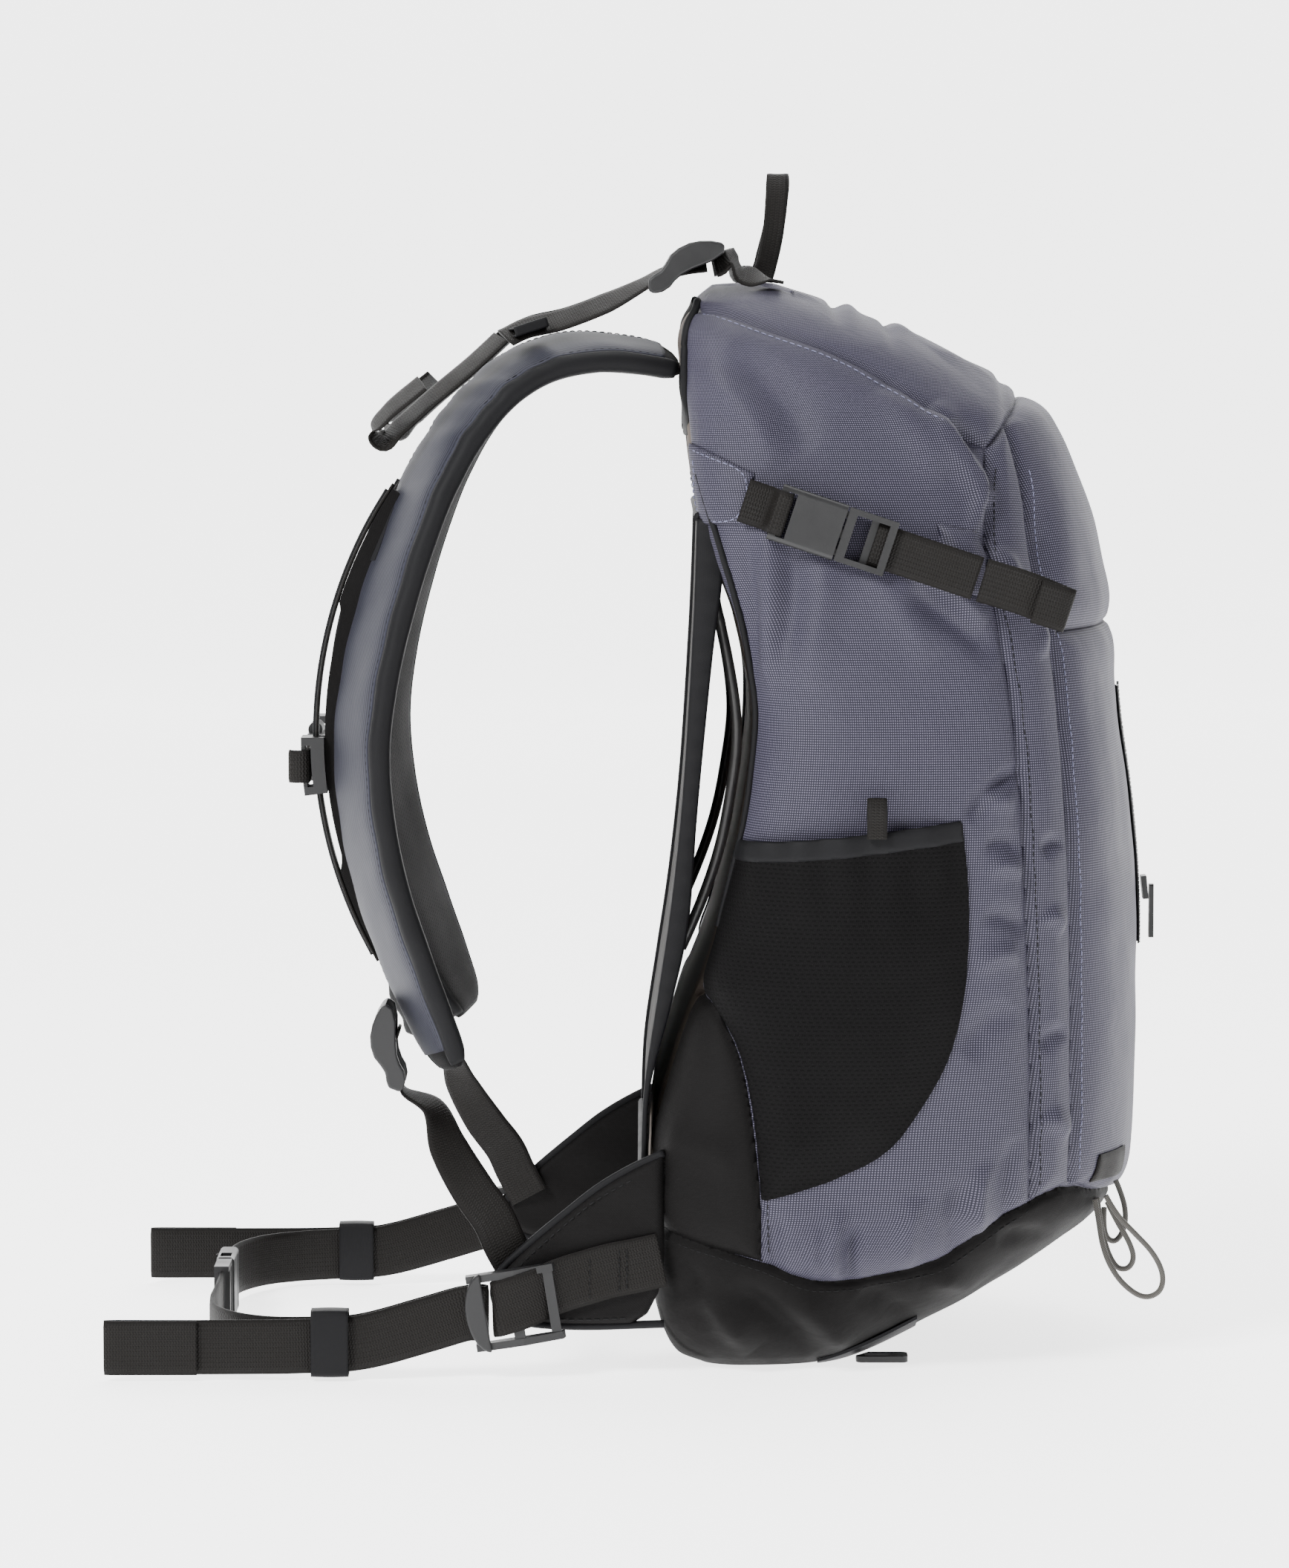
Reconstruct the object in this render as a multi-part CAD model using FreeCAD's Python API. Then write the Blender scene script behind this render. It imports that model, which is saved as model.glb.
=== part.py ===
"""Ski backpack: day pack with a suspended mesh back, shoulder harness and closed hip belt.

Frame: +Z up, -X toward the wearer's back, -Y toward the wearer's left. Z = 0 is the plane the base rests on,
Y = 0 the mid-plane, X = 0 the middle of the base's flat. Millimetres.
"""
import FreeCAD
import Part
import math
import os

V = FreeCAD.Vector

# ---- overall sizes -------------------------------------------------------------------------------------------
BAG_HEIGHT = 497.0
BAG_DEPTH = 231.0
BAG_WIDTH = 274.0
WALL = 2.6

# ---- webbing, cord and hardware ------------------------------------------------------------------------------
HIP_WEB = 25.0
COMPRESSION_WEB = 20.0
LIFTER_WEB = 20.0
STERNUM_WEB = 16.0
HAUL_WEB = 10.0
WEB_THICK = 1.6
CORD_DIAMETER = 2.6
STRAP_WIDTH = 66.0
STRAP_THICK = 11.5
RAIL_RADIUS = 207.5
MESH_THICK = 2.4
POCKET_STANDOFF = 8.0
POCKET_SHEET = 1.6
FRAME_ROD = 5.0

# ---- clearances ----------------------------------------------------------------------------------------------
SLIDE_CLEAR = 0.6
WEB_CLEAR = 0.5
SKIN_CLEAR = 0.4

# ---- releases ------------------------------------------------------------------------------------------------
BUCKLE_RELEASE = 10.0

# scale of every anchor point with the bag's own size
KX = BAG_DEPTH / 231.0
KY = BAG_WIDTH / 274.0
KZ = BAG_HEIGHT / 497.0

# height, back, front and half width of the stuffed bag, as drawn for the nominal bag
SECTIONS = [
    (0, -46, 36, 90),
    (6, -55, 51, 103),
    (14, -60, 67, 112),
    (26, -64, 90, 120),
    (42, -66, 116, 126),
    (60, -67, 141, 130),
    (78, -67, 157, 132),
    (105, -66, 162, 134),
    (150, -55, 163.5, 136),
    (200, -37, 163, 137),
    (250, -26, 160, 137),
    (300, -20, 153.5, 135),
    (345, -28, 149.5, 131),
    (385, -42, 143, 125),
    (415, -48, 132, 119),
    (436, -50, 121, 115),
    (454, -52, 97, 110),
    (470, -53, 68, 104),
    (482, -51, 37, 93),
    (491, -47, 13, 75),
    (497, -38, -8, 44),
]

# share of depth and of half width along half a section, from mid back round to mid front
OUTLINE = [
    (0.0, 0.0),
    (0.0, 0.42),
    (0.004, 0.70),
    (0.035, 0.89),
    (0.14, 0.98),
    (0.32, 1.0),
    (0.52, 0.975),
    (0.68, 0.905),
    (0.80, 0.775),
    (0.905, 0.56),
    (0.975, 0.30),
    (1.0, 0.0),
]


def at(x, y, z):
    """A point of the nominal bag, moved with the bag's own size."""
    return V(x * KX, y * KY, z * KZ)


def smooth_table(rows, col, z):
    """Monotone cubic through the rows' values at height z."""
    zs = [r[0] for r in rows]
    vs = [r[col] for r in rows]
    n = len(zs)
    if z <= zs[0]:
        return vs[0], (vs[1] - vs[0]) / (zs[1] - zs[0])
    if z >= zs[-1]:
        return vs[-1], (vs[-1] - vs[-2]) / (zs[-1] - zs[-2])
    secant = [(vs[i + 1] - vs[i]) / (zs[i + 1] - zs[i]) for i in range(n - 1)]
    slope = [secant[0]]
    for i in range(1, n - 1):
        same = secant[i - 1] * secant[i] > 0
        slope.append(2 * secant[i - 1] * secant[i] / (secant[i - 1] + secant[i]) if same else 0.0)
    slope.append(secant[-1])
    i = max(k for k in range(n - 1) if zs[k] <= z)
    h = zs[i + 1] - zs[i]
    t = (z - zs[i]) / h
    value = (
        vs[i] * (1 + 2 * t) * (1 - t) ** 2
        + slope[i] * h * t * (1 - t) ** 2
        + vs[i + 1] * t * t * (3 - 2 * t)
        + slope[i + 1] * h * t * t * (t - 1)
    )
    return value, secant[i]


def section_sizes(z, offset=0.0):
    """Back, front and half width at height z, grown outward by an offset measured square to the skin."""
    zn = z / KZ
    back, back_slope = smooth_table(SECTIONS, 1, zn)
    front, front_slope = smooth_table(SECTIONS, 2, zn)
    half, half_slope = smooth_table(SECTIONS, 3, zn)
    grow = [offset * math.sqrt(1 + min(abs(s), 2.5) ** 2) for s in (back_slope, front_slope, half_slope)]
    return back * KX - grow[0], front * KX + grow[1], half * KY + grow[2]


def section_wire(z, offset=0.0, level=None):
    back, front, half = section_sizes(z, offset)
    z_at = z if level is None else level
    depth = front - back
    side = [V(back + fx * depth, fy * half, z_at) for fx, fy in OUTLINE]
    other = [V(p.x, -p.y, p.z) for p in reversed(side[1:-1])]
    curve = Part.BSplineCurve()
    curve.interpolate(side + other, PeriodicFlag=True)
    return Part.Wire([curve.toShape()])


def bag_loft(offset, low, high, levels):
    zs = [low] + [z * KZ for z in levels if low + 4 < z * KZ < high - 2.5] + [high]
    return Part.makeLoft([section_wire(z, offset) for z in zs], True, False)


def side_y(x, z, offset=0.0):
    """Half width of the bag's skin at x and z."""
    back, front, half = section_sizes(z, offset)
    share = min(max((x - back) / (front - back), 0.0), 1.0)
    for (xa, ya), (xb, yb) in zip(OUTLINE[3:], OUTLINE[4:]):
        if xa <= share <= xb:
            return half * (ya + (yb - ya) * (share - xa) / (xb - xa))
    return half * OUTLINE[3][1]


def front_x(y, z, offset=0.0):
    """Front of the bag's skin at y and z."""
    back, front, half = section_sizes(z, offset)
    share = min(abs(y) / half, 0.9)
    for (xa, ya), (xb, yb) in zip(OUTLINE[5:], OUTLINE[6:]):
        if yb <= share <= ya:
            return back + (front - back) * (xa + (xb - xa) * (ya - share) / (ya - yb))
    return front


def prism(points, y_low, y_high):
    """A side-view outline, extruded from y_low to y_high."""
    corners = [V(x * KX, y_low, z * KZ) for x, z in points]
    face = Part.Face(Part.makePolygon(corners + [corners[0]]))
    return face.extrude(V(0, y_high - y_low, 0))


def box(x0, x1, y0, y1, z0, z1):
    return Part.makeBox(x1 - x0, y1 - y0, z1 - z0, V(x0, y0, z0))


def single(shape):
    """The one real solid of a shape, facing outward."""
    solid = max(shape.Solids, key=lambda s: abs(s.Volume))
    if solid.Volume < 0:
        solid.reverse()
    return solid


def fuse(shapes):
    whole = shapes[0]
    for other in shapes[1:]:
        whole = whole.fuse(other)
    return single(whole.removeSplitter())


def both(shape):
    """The shape with its mirror image on the other side of the bag."""
    return Part.makeCompound([shape, mirrored(shape)])


def mirrored(shape):
    return shape.mirror(V(0, 0, 0), V(0, 1, 0))


def rounded(shape, radius, along=None):
    """Rounds the straight edges that run along one direction, or all of them."""
    edges = []
    for edge in shape.Edges:
        direction = edge.tangentAt(edge.FirstParameter)
        if along is None or abs(direction.dot(along)) > 0.99:
            edges.append(edge)
    return shape.makeFillet(radius, edges)


def placed(shape, origin, along, across):
    """Moves a shape from its own axes (x along, y across, z outward) to the bag."""
    u = V(along).normalize()
    out = u.cross(across).normalize()
    w = out.cross(u).normalize()
    m = FreeCAD.Matrix(u.x, w.x, out.x, origin.x, u.y, w.y, out.y, origin.y, u.z, w.z, out.z, origin.z)
    copy = shape.copy()
    copy.transformShape(m)
    return single(copy)


def ribbon(points, across, width, thick=WEB_THICK, shares=None):
    """Flat webbing along a line of points. across: one direction, or one for each point."""
    wires = []
    for i, p in enumerate(points):
        before = points[max(i - 1, 0)]
        after = points[min(i + 1, len(points) - 1)]
        a = (p - before).normalize() if i else V(0, 0, 0)
        b = (after - p).normalize() if i < len(points) - 1 else V(0, 0, 0)
        run = (a + b).normalize()
        side = across[i] if isinstance(across, list) else across
        out = run.cross(side).normalize()
        w = out.cross(run).normalize()
        stretch = 1.0
        if i and i < len(points) - 1:
            turn_out = abs((a - b).dot(out)) > abs((a - b).dot(w))
            if turn_out:
                stretch = min(1 / max(run.dot(a), 0.35), 2.2)
        size = width * (shares[i] if shares else 1.0)
        corners = []
        for sw, so in ((-1, -1), (1, -1), (1, 1), (-1, 1)):
            corners.append(p + w * (sw * size / 2) + out * (so * thick * stretch / 2))
        wires.append(Part.makePolygon(corners + [corners[0]]))
    return single(Part.makeLoft(wires, True, True))


def folded(points, across, width, thick=WEB_THICK):
    """Webbing folded in one plane: an outline of even thickness along the points, extruded across."""
    wide = V(across).normalize()
    one_side = []
    other_side = []
    for i, p in enumerate(points):
        a = (p - points[i - 1]).normalize() if i else None
        b = (points[i + 1] - p).normalize() if i < len(points) - 1 else None
        a = a or b
        b = b or a
        run = (a + b).normalize()
        out = wide.cross(run).normalize()
        reach = min(thick / 2 / max(run.dot(a), 0.4), thick * 1.2)
        one_side.append(p + out * reach - wide * (width / 2))
        other_side.append(p - out * reach - wide * (width / 2))
    corners = one_side + list(reversed(other_side))
    return single(Part.Face(Part.makePolygon(corners + [corners[0]])).extrude(wide * width))


def export(node, shape):
    shape.exportStep("parts/" + node + ".step")
    print(node, len(shape.Solids), "solids", round(shape.Volume / 1000.0, 2), "cm3", shape.isValid())


os.makedirs("parts", exist_ok=True)

# ---- the stuffed bag, as panels of cloth with seams ----------------------------------------------------------
LEVELS = [r[0] for r in SECTIONS[1:-1]]
outer = bag_loft(0.0, 0.0, BAG_HEIGHT, LEVELS)
inner = bag_loft(-WALL, WALL, BAG_HEIGHT - WALL, LEVELS)
shell = outer.cut(inner)

FAR = 260.0
LID_SEAM = [(-75, 484), (-43, 491), (-12, 480), (15, 470), (36, 460), (56, 446), (86, 425), (106, 447), (150, 480)]
GUSSET_SEAM = [(86, 425), (85, 400), (86, 370), (94, 332), (101, 283), (105, 222), (108, 160), (108, 79)]
POCKET_SEAM = [(97, 436), (104, 413), (110, 370), (119, 332), (124, 268), (128, 196), (129, 124), (128, 85)]
BASE_SEAM = [(-90, 74), (-68, 68), (-17, 54), (2, 45), (21, 43), (44, 46), (61, 50), (74, 56), (86, 65), (108, 79),
             (128, 85), (151, 71), (190, 60)]
CORNER_SEAM = [(-17, 54), (-17, 82), (-21, 119), (-26, 145), (-32, 160), (-44, 177), (-90, 190), (-90, 74), (-68, 68)]
FLAP_TOP = 341.0
BACK_EDGE = 10.0

lid_zone = prism(LID_SEAM + [(150, 560), (-75, 560)], -FAR, FAR)
top_lid = shell.common(lid_zone)
rest = shell.cut(lid_zone)

base_zone = prism(BASE_SEAM + [(190, -20), (-90, -20)], -FAR, FAR)
base_panel = rest.common(base_zone)
rest = rest.cut(base_zone)

front_zone = prism(POCKET_SEAM + [(151, 71), (230, 60), (230, 500), (120, 470)], -FAR, FAR)
front = rest.common(front_zone)
rest = rest.cut(front_zone)
above = box(-300, 300, -FAR, FAR, FLAP_TOP * KZ, 700)
upper_front = front.common(above)
front_pocket = front.cut(above)

gusset_zone = prism(GUSSET_SEAM + [(240, 79), (240, 440), (106, 447)], -FAR, FAR)
gusset_panels = rest.common(gusset_zone)
rest = rest.cut(gusset_zone)

back_half = 0.80 * BAG_WIDTH / 2
back_zone = box(-200, -2.0 * KX, -back_half, back_half, -20, 700)
back_panel = rest.common(back_zone)
rest = rest.cut(back_zone)

corner_zone = prism(CORNER_SEAM, -FAR, FAR)
corner_panels = rest.common(corner_zone)
side_panels = rest.cut(corner_zone)


def half_of(shape, sign):
    return single(Part.makeCompound([s for s in shape.Solids if s.CenterOfMass.y * sign > 0]))


export("top_lid", top_lid)
export("base_panel", base_panel)
export("upper_front", upper_front)
export("front_pocket", front_pocket)
export("gusset_panels", gusset_panels)
export("back_panel", back_panel)
export("corner_panels", corner_panels)
export("side_panels", both(half_of(side_panels, -1)))

# ---- suspended mesh back -------------------------------------------------------------------------------------
MESH_LINE = [(-46, 392), (-47, 360), (-48, 337), (-52, 271), (-55, 238), (-59, 205), (-64, 172), (-70, 130), (-71.5, 95)]
MESH_HALF = 100.0
BINDING = 4.0


def thick_line(points, thick):
    """A side-view strip: the line, and the same line moved toward +X by its thickness."""
    return points + [(x + thick / KX, z) for x, z in reversed(points)]


mesh_half = MESH_HALF * KY
export("back_mesh", prism(thick_line(MESH_LINE, MESH_THICK), -mesh_half, mesh_half))
BINDING_INNER = [(-33.5, 392), (-34.5, 364), (-38, 337), (-43, 288), (-46, 255), (-50, 205), (-57, 172), (-69.5, 130),
                 (-69.0, 95)]
binding_zone = prism(MESH_LINE + list(reversed(BINDING_INNER)), -mesh_half - BINDING, -mesh_half - 0.1)
binding = binding_zone.cut(bag_loft(SKIN_CLEAR, 60 * KZ, 440 * KZ, LEVELS))
export("mesh_bindings", both(binding))

# bent wire frame that holds the mesh off the back sheet
ROD_LINE = [(-38.5, 362), (-34.5, 345), (-29, 318), (-26.5, 290), (-29, 268), (-34, 242), (-43, 215), (-52, 194)]
rod_half = mesh_half - 12.0
rod_points = [V(x * KX - 1.2, -rod_half, z * KZ) for x, z in ROD_LINE]
rod_curve = Part.BSplineCurve()
rod_curve.interpolate(rod_points)
rod_spine = Part.Wire([rod_curve.toShape()])
rod_start = Part.Wire([Part.Circle(rod_points[0], rod_curve.tangent(0)[0], FRAME_ROD / 2).toShape()])
rod = single(rod_spine.makePipeShell([rod_start], True, True))
rod_clear = bag_loft(SKIN_CLEAR, 120 * KZ, 430 * KZ, LEVELS)
mesh_clear = prism(thick_line([(x - 0.4, z) for x, z in MESH_LINE], MESH_THICK + 0.8), -mesh_half, mesh_half)
export("frame_rod", both(single(rod.cut(rod_clear).cut(mesh_clear))))

# ---- mesh bottle pockets, open at the top --------------------------------------------------------------------
POCKET_OUTLINE = [(-28, 246), (73, 257), (77, 222), (76, 181), (69, 149), (56, 126), (40, 104), (13, 92), (-17, 83),
                  (-20, 119), (-25, 145), (-31, 160), (-43, 176)]
POCKET_INSIDE = [(-28, 270), (73, 281), (75, 257), (74, 182), (67, 150), (54.5, 127.5), (39, 106), (12, 94), (-14.5, 85.5),
                 (-18, 119.5), (-23, 146), (-29.5, 161.5), (-40, 178), (-26, 246)]
POCKET_LEVELS = [105, 150, 200, 250]
pocket_out = bag_loft(POCKET_STANDOFF + POCKET_SHEET, 70 * KZ, 290 * KZ, POCKET_LEVELS)
pocket_in = bag_loft(POCKET_STANDOFF, 66 * KZ, 294 * KZ, POCKET_LEVELS)
pocket_skin = bag_loft(SKIN_CLEAR / 2, 62 * KZ, 298 * KZ, POCKET_LEVELS)
pocket_block = pocket_out.common(prism(POCKET_OUTLINE, -FAR, -40.0)).cut(pocket_skin)
pocket_room = pocket_in.common(prism(POCKET_INSIDE, -FAR - 10, -30.0))
pocket_left = pocket_block.cut(pocket_room)
export("bottle_pockets", both(pocket_left))
pull_x = 34.5 * KX
pull_y = -side_y(pull_x, 256 * KZ, POCKET_STANDOFF + POCKET_SHEET)
pull_line = [V(pull_x, pull_y - 1.0, 249 * KZ), V(pull_x, pull_y - 1.0, 266 * KZ), V(pull_x, pull_y + 1.6, 268 * KZ),
             V(pull_x, pull_y + 3.6, 266 * KZ), V(pull_x, pull_y + 3.6, 252 * KZ)]
export("pocket_pulls", both(folded(pull_line, V(1, 0, 0), 15.0, 1.0)))


# ---- side-release buckles ------------------------------------------------------------------------------------
def buckle_socket(web):
    """Along +x: webbing bar, then the socket's mouth at x = 22. Thickness 0 to 9."""
    half = web / 2 + 3.0
    body = rounded(box(-9, 22, -half, half, 0, 9), 2.4, V(1, 0, 0))
    mouth = box(3, 23, -half + 2.0, half - 2.0, 1.9, 7.1)
    windows = box(8.5, 18.5, -half - 1, half + 1, 1.9, 7.1)
    slot = box(-5.6, -1.4, -web / 2 - 0.5, web / 2 + 0.5, -1, 10)
    return body.cut(mouth).cut(windows).cut(slot)


def buckle_plug(web):
    """Same axes as its socket: prongs inside the mouth, then the ladder for the adjusting webbing."""
    half = web / 2 + 3.0
    reach = half - 2.0 - SLIDE_CLEAR
    parts = [box(22.8, 27, -half + 0.4, half - 0.4, 1.0, 8.0)]
    for sign in (-1, 1):
        low, high = sorted((sign * reach, sign * (reach - 3.0)))
        parts.append(box(5.0, 23, low, high, 1.9 + SLIDE_CLEAR, 7.1 - SLIDE_CLEAR))
        low, high = sorted((sign * (half - 0.4), sign * (half - 3.0)))
        parts.append(box(26.5, 46, low, high, 1.0, 8.0))
    parts.append(box(7, 23, -2, 2, 1.9 + SLIDE_CLEAR, 7.1 - SLIDE_CLEAR))
    parts.append(box(34, 37.5, -half + 1, half - 1, 1.0, 3.2))
    parts.append(box(42.5, 46, -half + 1, half - 1, 5.8, 8.0))
    return fuse(parts)


def plug_web_height():
    """Height of the webbing's middle as it passes over one bar of the plug and under the next."""
    return 4.5


# ---- compression straps --------------------------------------------------------------------------------------
comp_a = at(-12, 0, 397)
comp_a.y = -side_y(comp_a.x, comp_a.z) - 4.6
comp_b = at(80, 0, 366.5)
comp_b.y = -side_y(comp_b.x, comp_b.z) - 10.2
comp_dir = (comp_b - comp_a).normalize()
comp_across = V(0, 0, 1)
comp_origin = comp_a + comp_dir * 10.0
comp_out = comp_dir.cross(comp_across).normalize()
if comp_out.y > 0:
    comp_across = V(0, 0, -1)
    comp_out = comp_dir.cross(comp_across).normalize()
comp_socket = placed(buckle_socket(COMPRESSION_WEB), comp_origin, comp_dir, comp_across)
comp_plug = placed(buckle_plug(COMPRESSION_WEB), comp_origin, comp_dir, comp_across)
export("compression_socket_left", comp_socket)
export("compression_socket_right", mirrored(comp_socket))
export("compression_plug_left", comp_plug)
export("compression_plug_right", mirrored(comp_plug))


def comp_point(x, z):
    return comp_origin + comp_dir * x + comp_out * z


short_web = [comp_point(-24, -0.8), comp_point(-12.5, 0.4), comp_point(-10.4, 4.5), comp_point(-9.0, 10.4),
             comp_point(-3.5, 10.4), comp_point(-3.5, 3.0)]
short_web_wall = comp_dir.cross(comp_out)
export("compression_short_webs", both(folded(short_web, short_web_wall, COMPRESSION_WEB)))
wing = [(-49, 427), (-20, 413), (-24, 390), (-44, 390)]
wing_skin = bag_loft(2.4, 372 * KZ, 440 * KZ, [385, 415])
wing_gap = bag_loft(SKIN_CLEAR / 2, 368 * KZ, 444 * KZ, [385, 415])
wing_block = wing_skin.common(prism(wing, -FAR, -60.0)).cut(wing_gap)
web_keep_out = ribbon([comp_point(-30, -0.8), comp_point(-12.5, 0.4)], short_web_wall, COMPRESSION_WEB + 1, 3.2)
wing_tab = wing_block.cut(web_keep_out)
export("compression_tabs", both(single(wing_tab)))
web_mid = plug_web_height()
comp_run = (comp_b - comp_origin).dot(comp_dir)
WEB_START = 27.0 + BUCKLE_RELEASE + 1.0
comp_line = [comp_point(WEB_START, web_mid), comp_point(46, web_mid), comp_point(comp_run, web_mid)]
anchor_end = comp_line[-1]
export("compression_webs", both(ribbon(comp_line, short_web_wall, COMPRESSION_WEB)))
tail_end = at(121, 0, 352)
tail_end.y = -side_y(tail_end.x, tail_end.z) - 13.0
tail_start = comp_point(comp_run + 2.4, web_mid)
tail_mid = tail_start + (tail_end - tail_start) * 0.5 + V(0, -3.0, 1.5)
comp_tail = ribbon([tail_start, tail_mid, tail_end], V(0.33, 0, 1), COMPRESSION_WEB, 2.4)
export("compression_tail_left", comp_tail)
export("compression_tail_right", mirrored(comp_tail))
print("compression tail pivot", tail_start)
anchor_zone = prism([(62, 391), (80, 386), (87, 377), (83, 356), (66, 362)], -FAR, -60.0)
anchor_skin = bag_loft(SKIN_CLEAR / 2, 330 * KZ, 410 * KZ, [345, 385])
plane_cut = placed(Part.makeBox(600, 600, 500, V(-300, -300, 0)), comp_point(70, web_mid - 1.1), comp_dir, comp_across)
tail_room = ribbon([tail_start - comp_dir * 1.0, tail_mid, tail_end], V(0.33, 0, 1), COMPRESSION_WEB + 3, 3.8)
anchor_tab = anchor_zone.cut(anchor_skin).cut(plane_cut).cut(tail_room)
export("compression_anchors", both(single(anchor_tab)))
print("compression axis", comp_dir, "socket origin", comp_origin)

# ---- haul loop and load lifters ------------------------------------------------------------------------------
loop_x = -14.0 * KX
loop_base = BAG_HEIGHT + 0.4
loop_line = [V(loop_x - 1, -16, loop_base + 1.4), V(loop_x, -15, loop_base + 9), V(loop_x + 3, -12.5, loop_base + 28),
             V(loop_x + 5, -8, loop_base + 44), V(loop_x + 6, -3, loop_base + 51.5), V(loop_x + 6, 3, loop_base + 51.5),
             V(loop_x + 5, 8, loop_base + 44), V(loop_x + 3, 12.5, loop_base + 28), V(loop_x, 15, loop_base + 9),
             V(loop_x - 1, 16, loop_base + 1.4)]
haul_loop = ribbon(loop_line, V(1, 0, 0), HAUL_WEB, WEB_THICK, [0.25] + [1.0] * 8 + [0.25])
export("haul_loop", haul_loop)

lifter_y = -54.0 * KY
LOCK_LENGTH = 39.0


def ladder_lock(web, length=LOCK_LENGTH):
    """Saddle-shaped three-bar buckle, middle at the origin, webbing running along x. The end webbings leave under it."""
    half = web / 2 + 4.0
    rails = []
    for sign in (-1, 1):
        low, high = sorted((sign * half, sign * (half - 3.0)))
        side = [V(-length / 2, low, -4.5), V(-length / 2 + 3, low, -5.0), V(-5, low, 1.0), V(5, low, 1.0),
                V(length / 2 - 4, low, -3.0), V(length / 2, low, -2.0), V(length / 2 - 1, low, 1.5),
                V(9, low, 5.5), V(-6, low, 6.0), V(-length / 2 + 4, low, 0.0)]
        rails.append(Part.Face(Part.makePolygon(side + [side[0]])).extrude(V(0, high - low, 0)))
    bars = [box(-length / 2 + 1.0, -length / 2 + 5.0, -half + 1, half - 1, -4.4, -1.6),
            box(-2.5, 2.5, -half + 1, half - 1, 1.6, 5.4), box(length / 2 - 5, length / 2 - 1.2, -half + 1, half - 1, -2.0, 1.2)]
    return fuse(rails + bars)


lock_centre = at(-51, 0, 508)
lock_centre.y = lifter_y
lock_dir = V(38, 0, 11).normalize()
lifter_lock = placed(ladder_lock(LIFTER_WEB), lock_centre, lock_dir, V(0, 1, 0))
if lifter_lock.CenterOfMass.z < lock_centre.z:
    lifter_lock = placed(ladder_lock(LIFTER_WEB), lock_centre, lock_dir, V(0, -1, 0))
export("lifter_locks", both(lifter_lock))


def lock_point(x, z):
    up = V(-lock_dir.z, 0, lock_dir.x)
    return lock_centre + lock_dir * x + up * z


anchor_line = [at(-16, 0, 499.6), at(-24, 0, 502.5), lock_point(20.8, -3.2), lock_point(12.5, -5.6)]
for p in anchor_line[:2]:
    p.y = lifter_y
anchor_web = ribbon(anchor_line, V(0, 1, 0), LIFTER_WEB)
anchor_pad = box(-21 * KX, -6 * KX, lifter_y - 10, lifter_y + 10, 488 * KZ, 499.4 * KZ)
lid_clear = bag_loft(SKIN_CLEAR / 2, 440 * KZ, BAG_HEIGHT + 0.3, [454, 470, 482, 491])
anchor_web = anchor_web.fuse(anchor_pad).cut(lid_clear)
export("lifter_anchors", both(single(anchor_web)))

KEEPER_AT = (-129.5, 469.5)
lifter_line = [lock_point(9.0, -3.6), lock_point(0, -2.2), lock_point(-11.0, -2.0), lock_point(-21.5, -4.0),
               at(-88, 0, 489.5), at(-108, 0, 482.0), at(-124, 0, 478.2), at(-134, 0, 473.6)]
for i, p in enumerate(lifter_line):
    p.y = lifter_y - max(i - 3, 0) * 2.6
lifter_web = ribbon(lifter_line, V(0, 1, 0), LIFTER_WEB)
export("lifter_webs", both(lifter_web))
tail_line = [at(-136, 0, 473.9), at(-150, 0, 461.0), at(-168, 0, 446.0), at(-182, 0, 433.5), at(-191, 0, 426.0)]
for i, p in enumerate(tail_line):
    p.y = lifter_y - 10.4 - 2.2 * i
lifter_tail = ribbon(tail_line, V(0, 1, 0), LIFTER_WEB, 3.4)
export("lifter_tail_left", lifter_tail)
export("lifter_tail_right", mirrored(lifter_tail))
print("lifter tail pivot", tail_line[0])

# ---- shoulder straps -----------------------------------------------------------------------------------------
# middle of the strap: x, y, z, lean of the face toward the side in degrees, share of the full width
STRAP = [
    (-56, -52, 461, 4, 0.80),
    (-73, -54, 465, 6, 0.90),
    (-95, -57, 467, 8, 0.98),
    (-116, -61, 463.5, 11, 1.0),
    (-135, -66, 453, 13, 1.0),
    (-153, -72, 434, 15, 1.0),
    (-168, -78, 409, 17, 1.0),
    (-179, -84, 382, 18, 1.0),
    (-188.5, -89, 352, 19, 1.0),
    (-196, -93, 319, 19, 1.0),
    (-199.5, -97, 287, 19, 1.0),
    (-197, -100, 254, 19, 1.0),
    (-190.5, -102, 223, 19, 1.0),
    (-181, -104, 195, 19, 0.97),
    (-171, -105.5, 170, 19, 0.86),
    (-162, -106.5, 150, 19, 0.66),
    (-157.5, -107, 141, 19, 0.40),
]


def strap_frame(i):
    """Middle, run, width direction (toward the side) and outward face direction at a strap station."""
    x, y, z, lean, share = STRAP[i]
    before = STRAP[max(i - 1, 0)]
    after = STRAP[min(i + 1, len(STRAP) - 1)]
    run = (at(*after[:3]) - at(*before[:3])).normalize()
    flat = V(0, -1, 0)
    out = run.cross(flat).normalize()
    angle = math.radians(lean)
    wide = flat * math.cos(angle) + (out * -1) * math.sin(angle)
    wide = (wide - run * wide.dot(run)).normalize()
    face = wide.cross(run).normalize()
    if face.dot(out) < 0:
        face = face * -1
    return at(x, y, z), run, wide, face, share


def strap_wire(i):
    middle, run, wide, face, share = strap_frame(i)
    half = STRAP_WIDTH * share / 2
    thick = STRAP_THICK / 2 * (0.8 + 0.2 * share)
    outline = [(1.0, 0.0), (0.96, 0.62), (0.80, 0.95), (0.4, 1.0), (0.0, 1.0), (-0.4, 1.0), (-0.80, 0.95), (-0.96, 0.62)]
    outline += [(-a, -b) for a, b in outline]
    curve = Part.BSplineCurve()
    curve.interpolate([middle + wide * (a * half) + face * (b * thick) for a, b in outline], PeriodicFlag=True)
    return Part.Wire([curve.toShape()])


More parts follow.
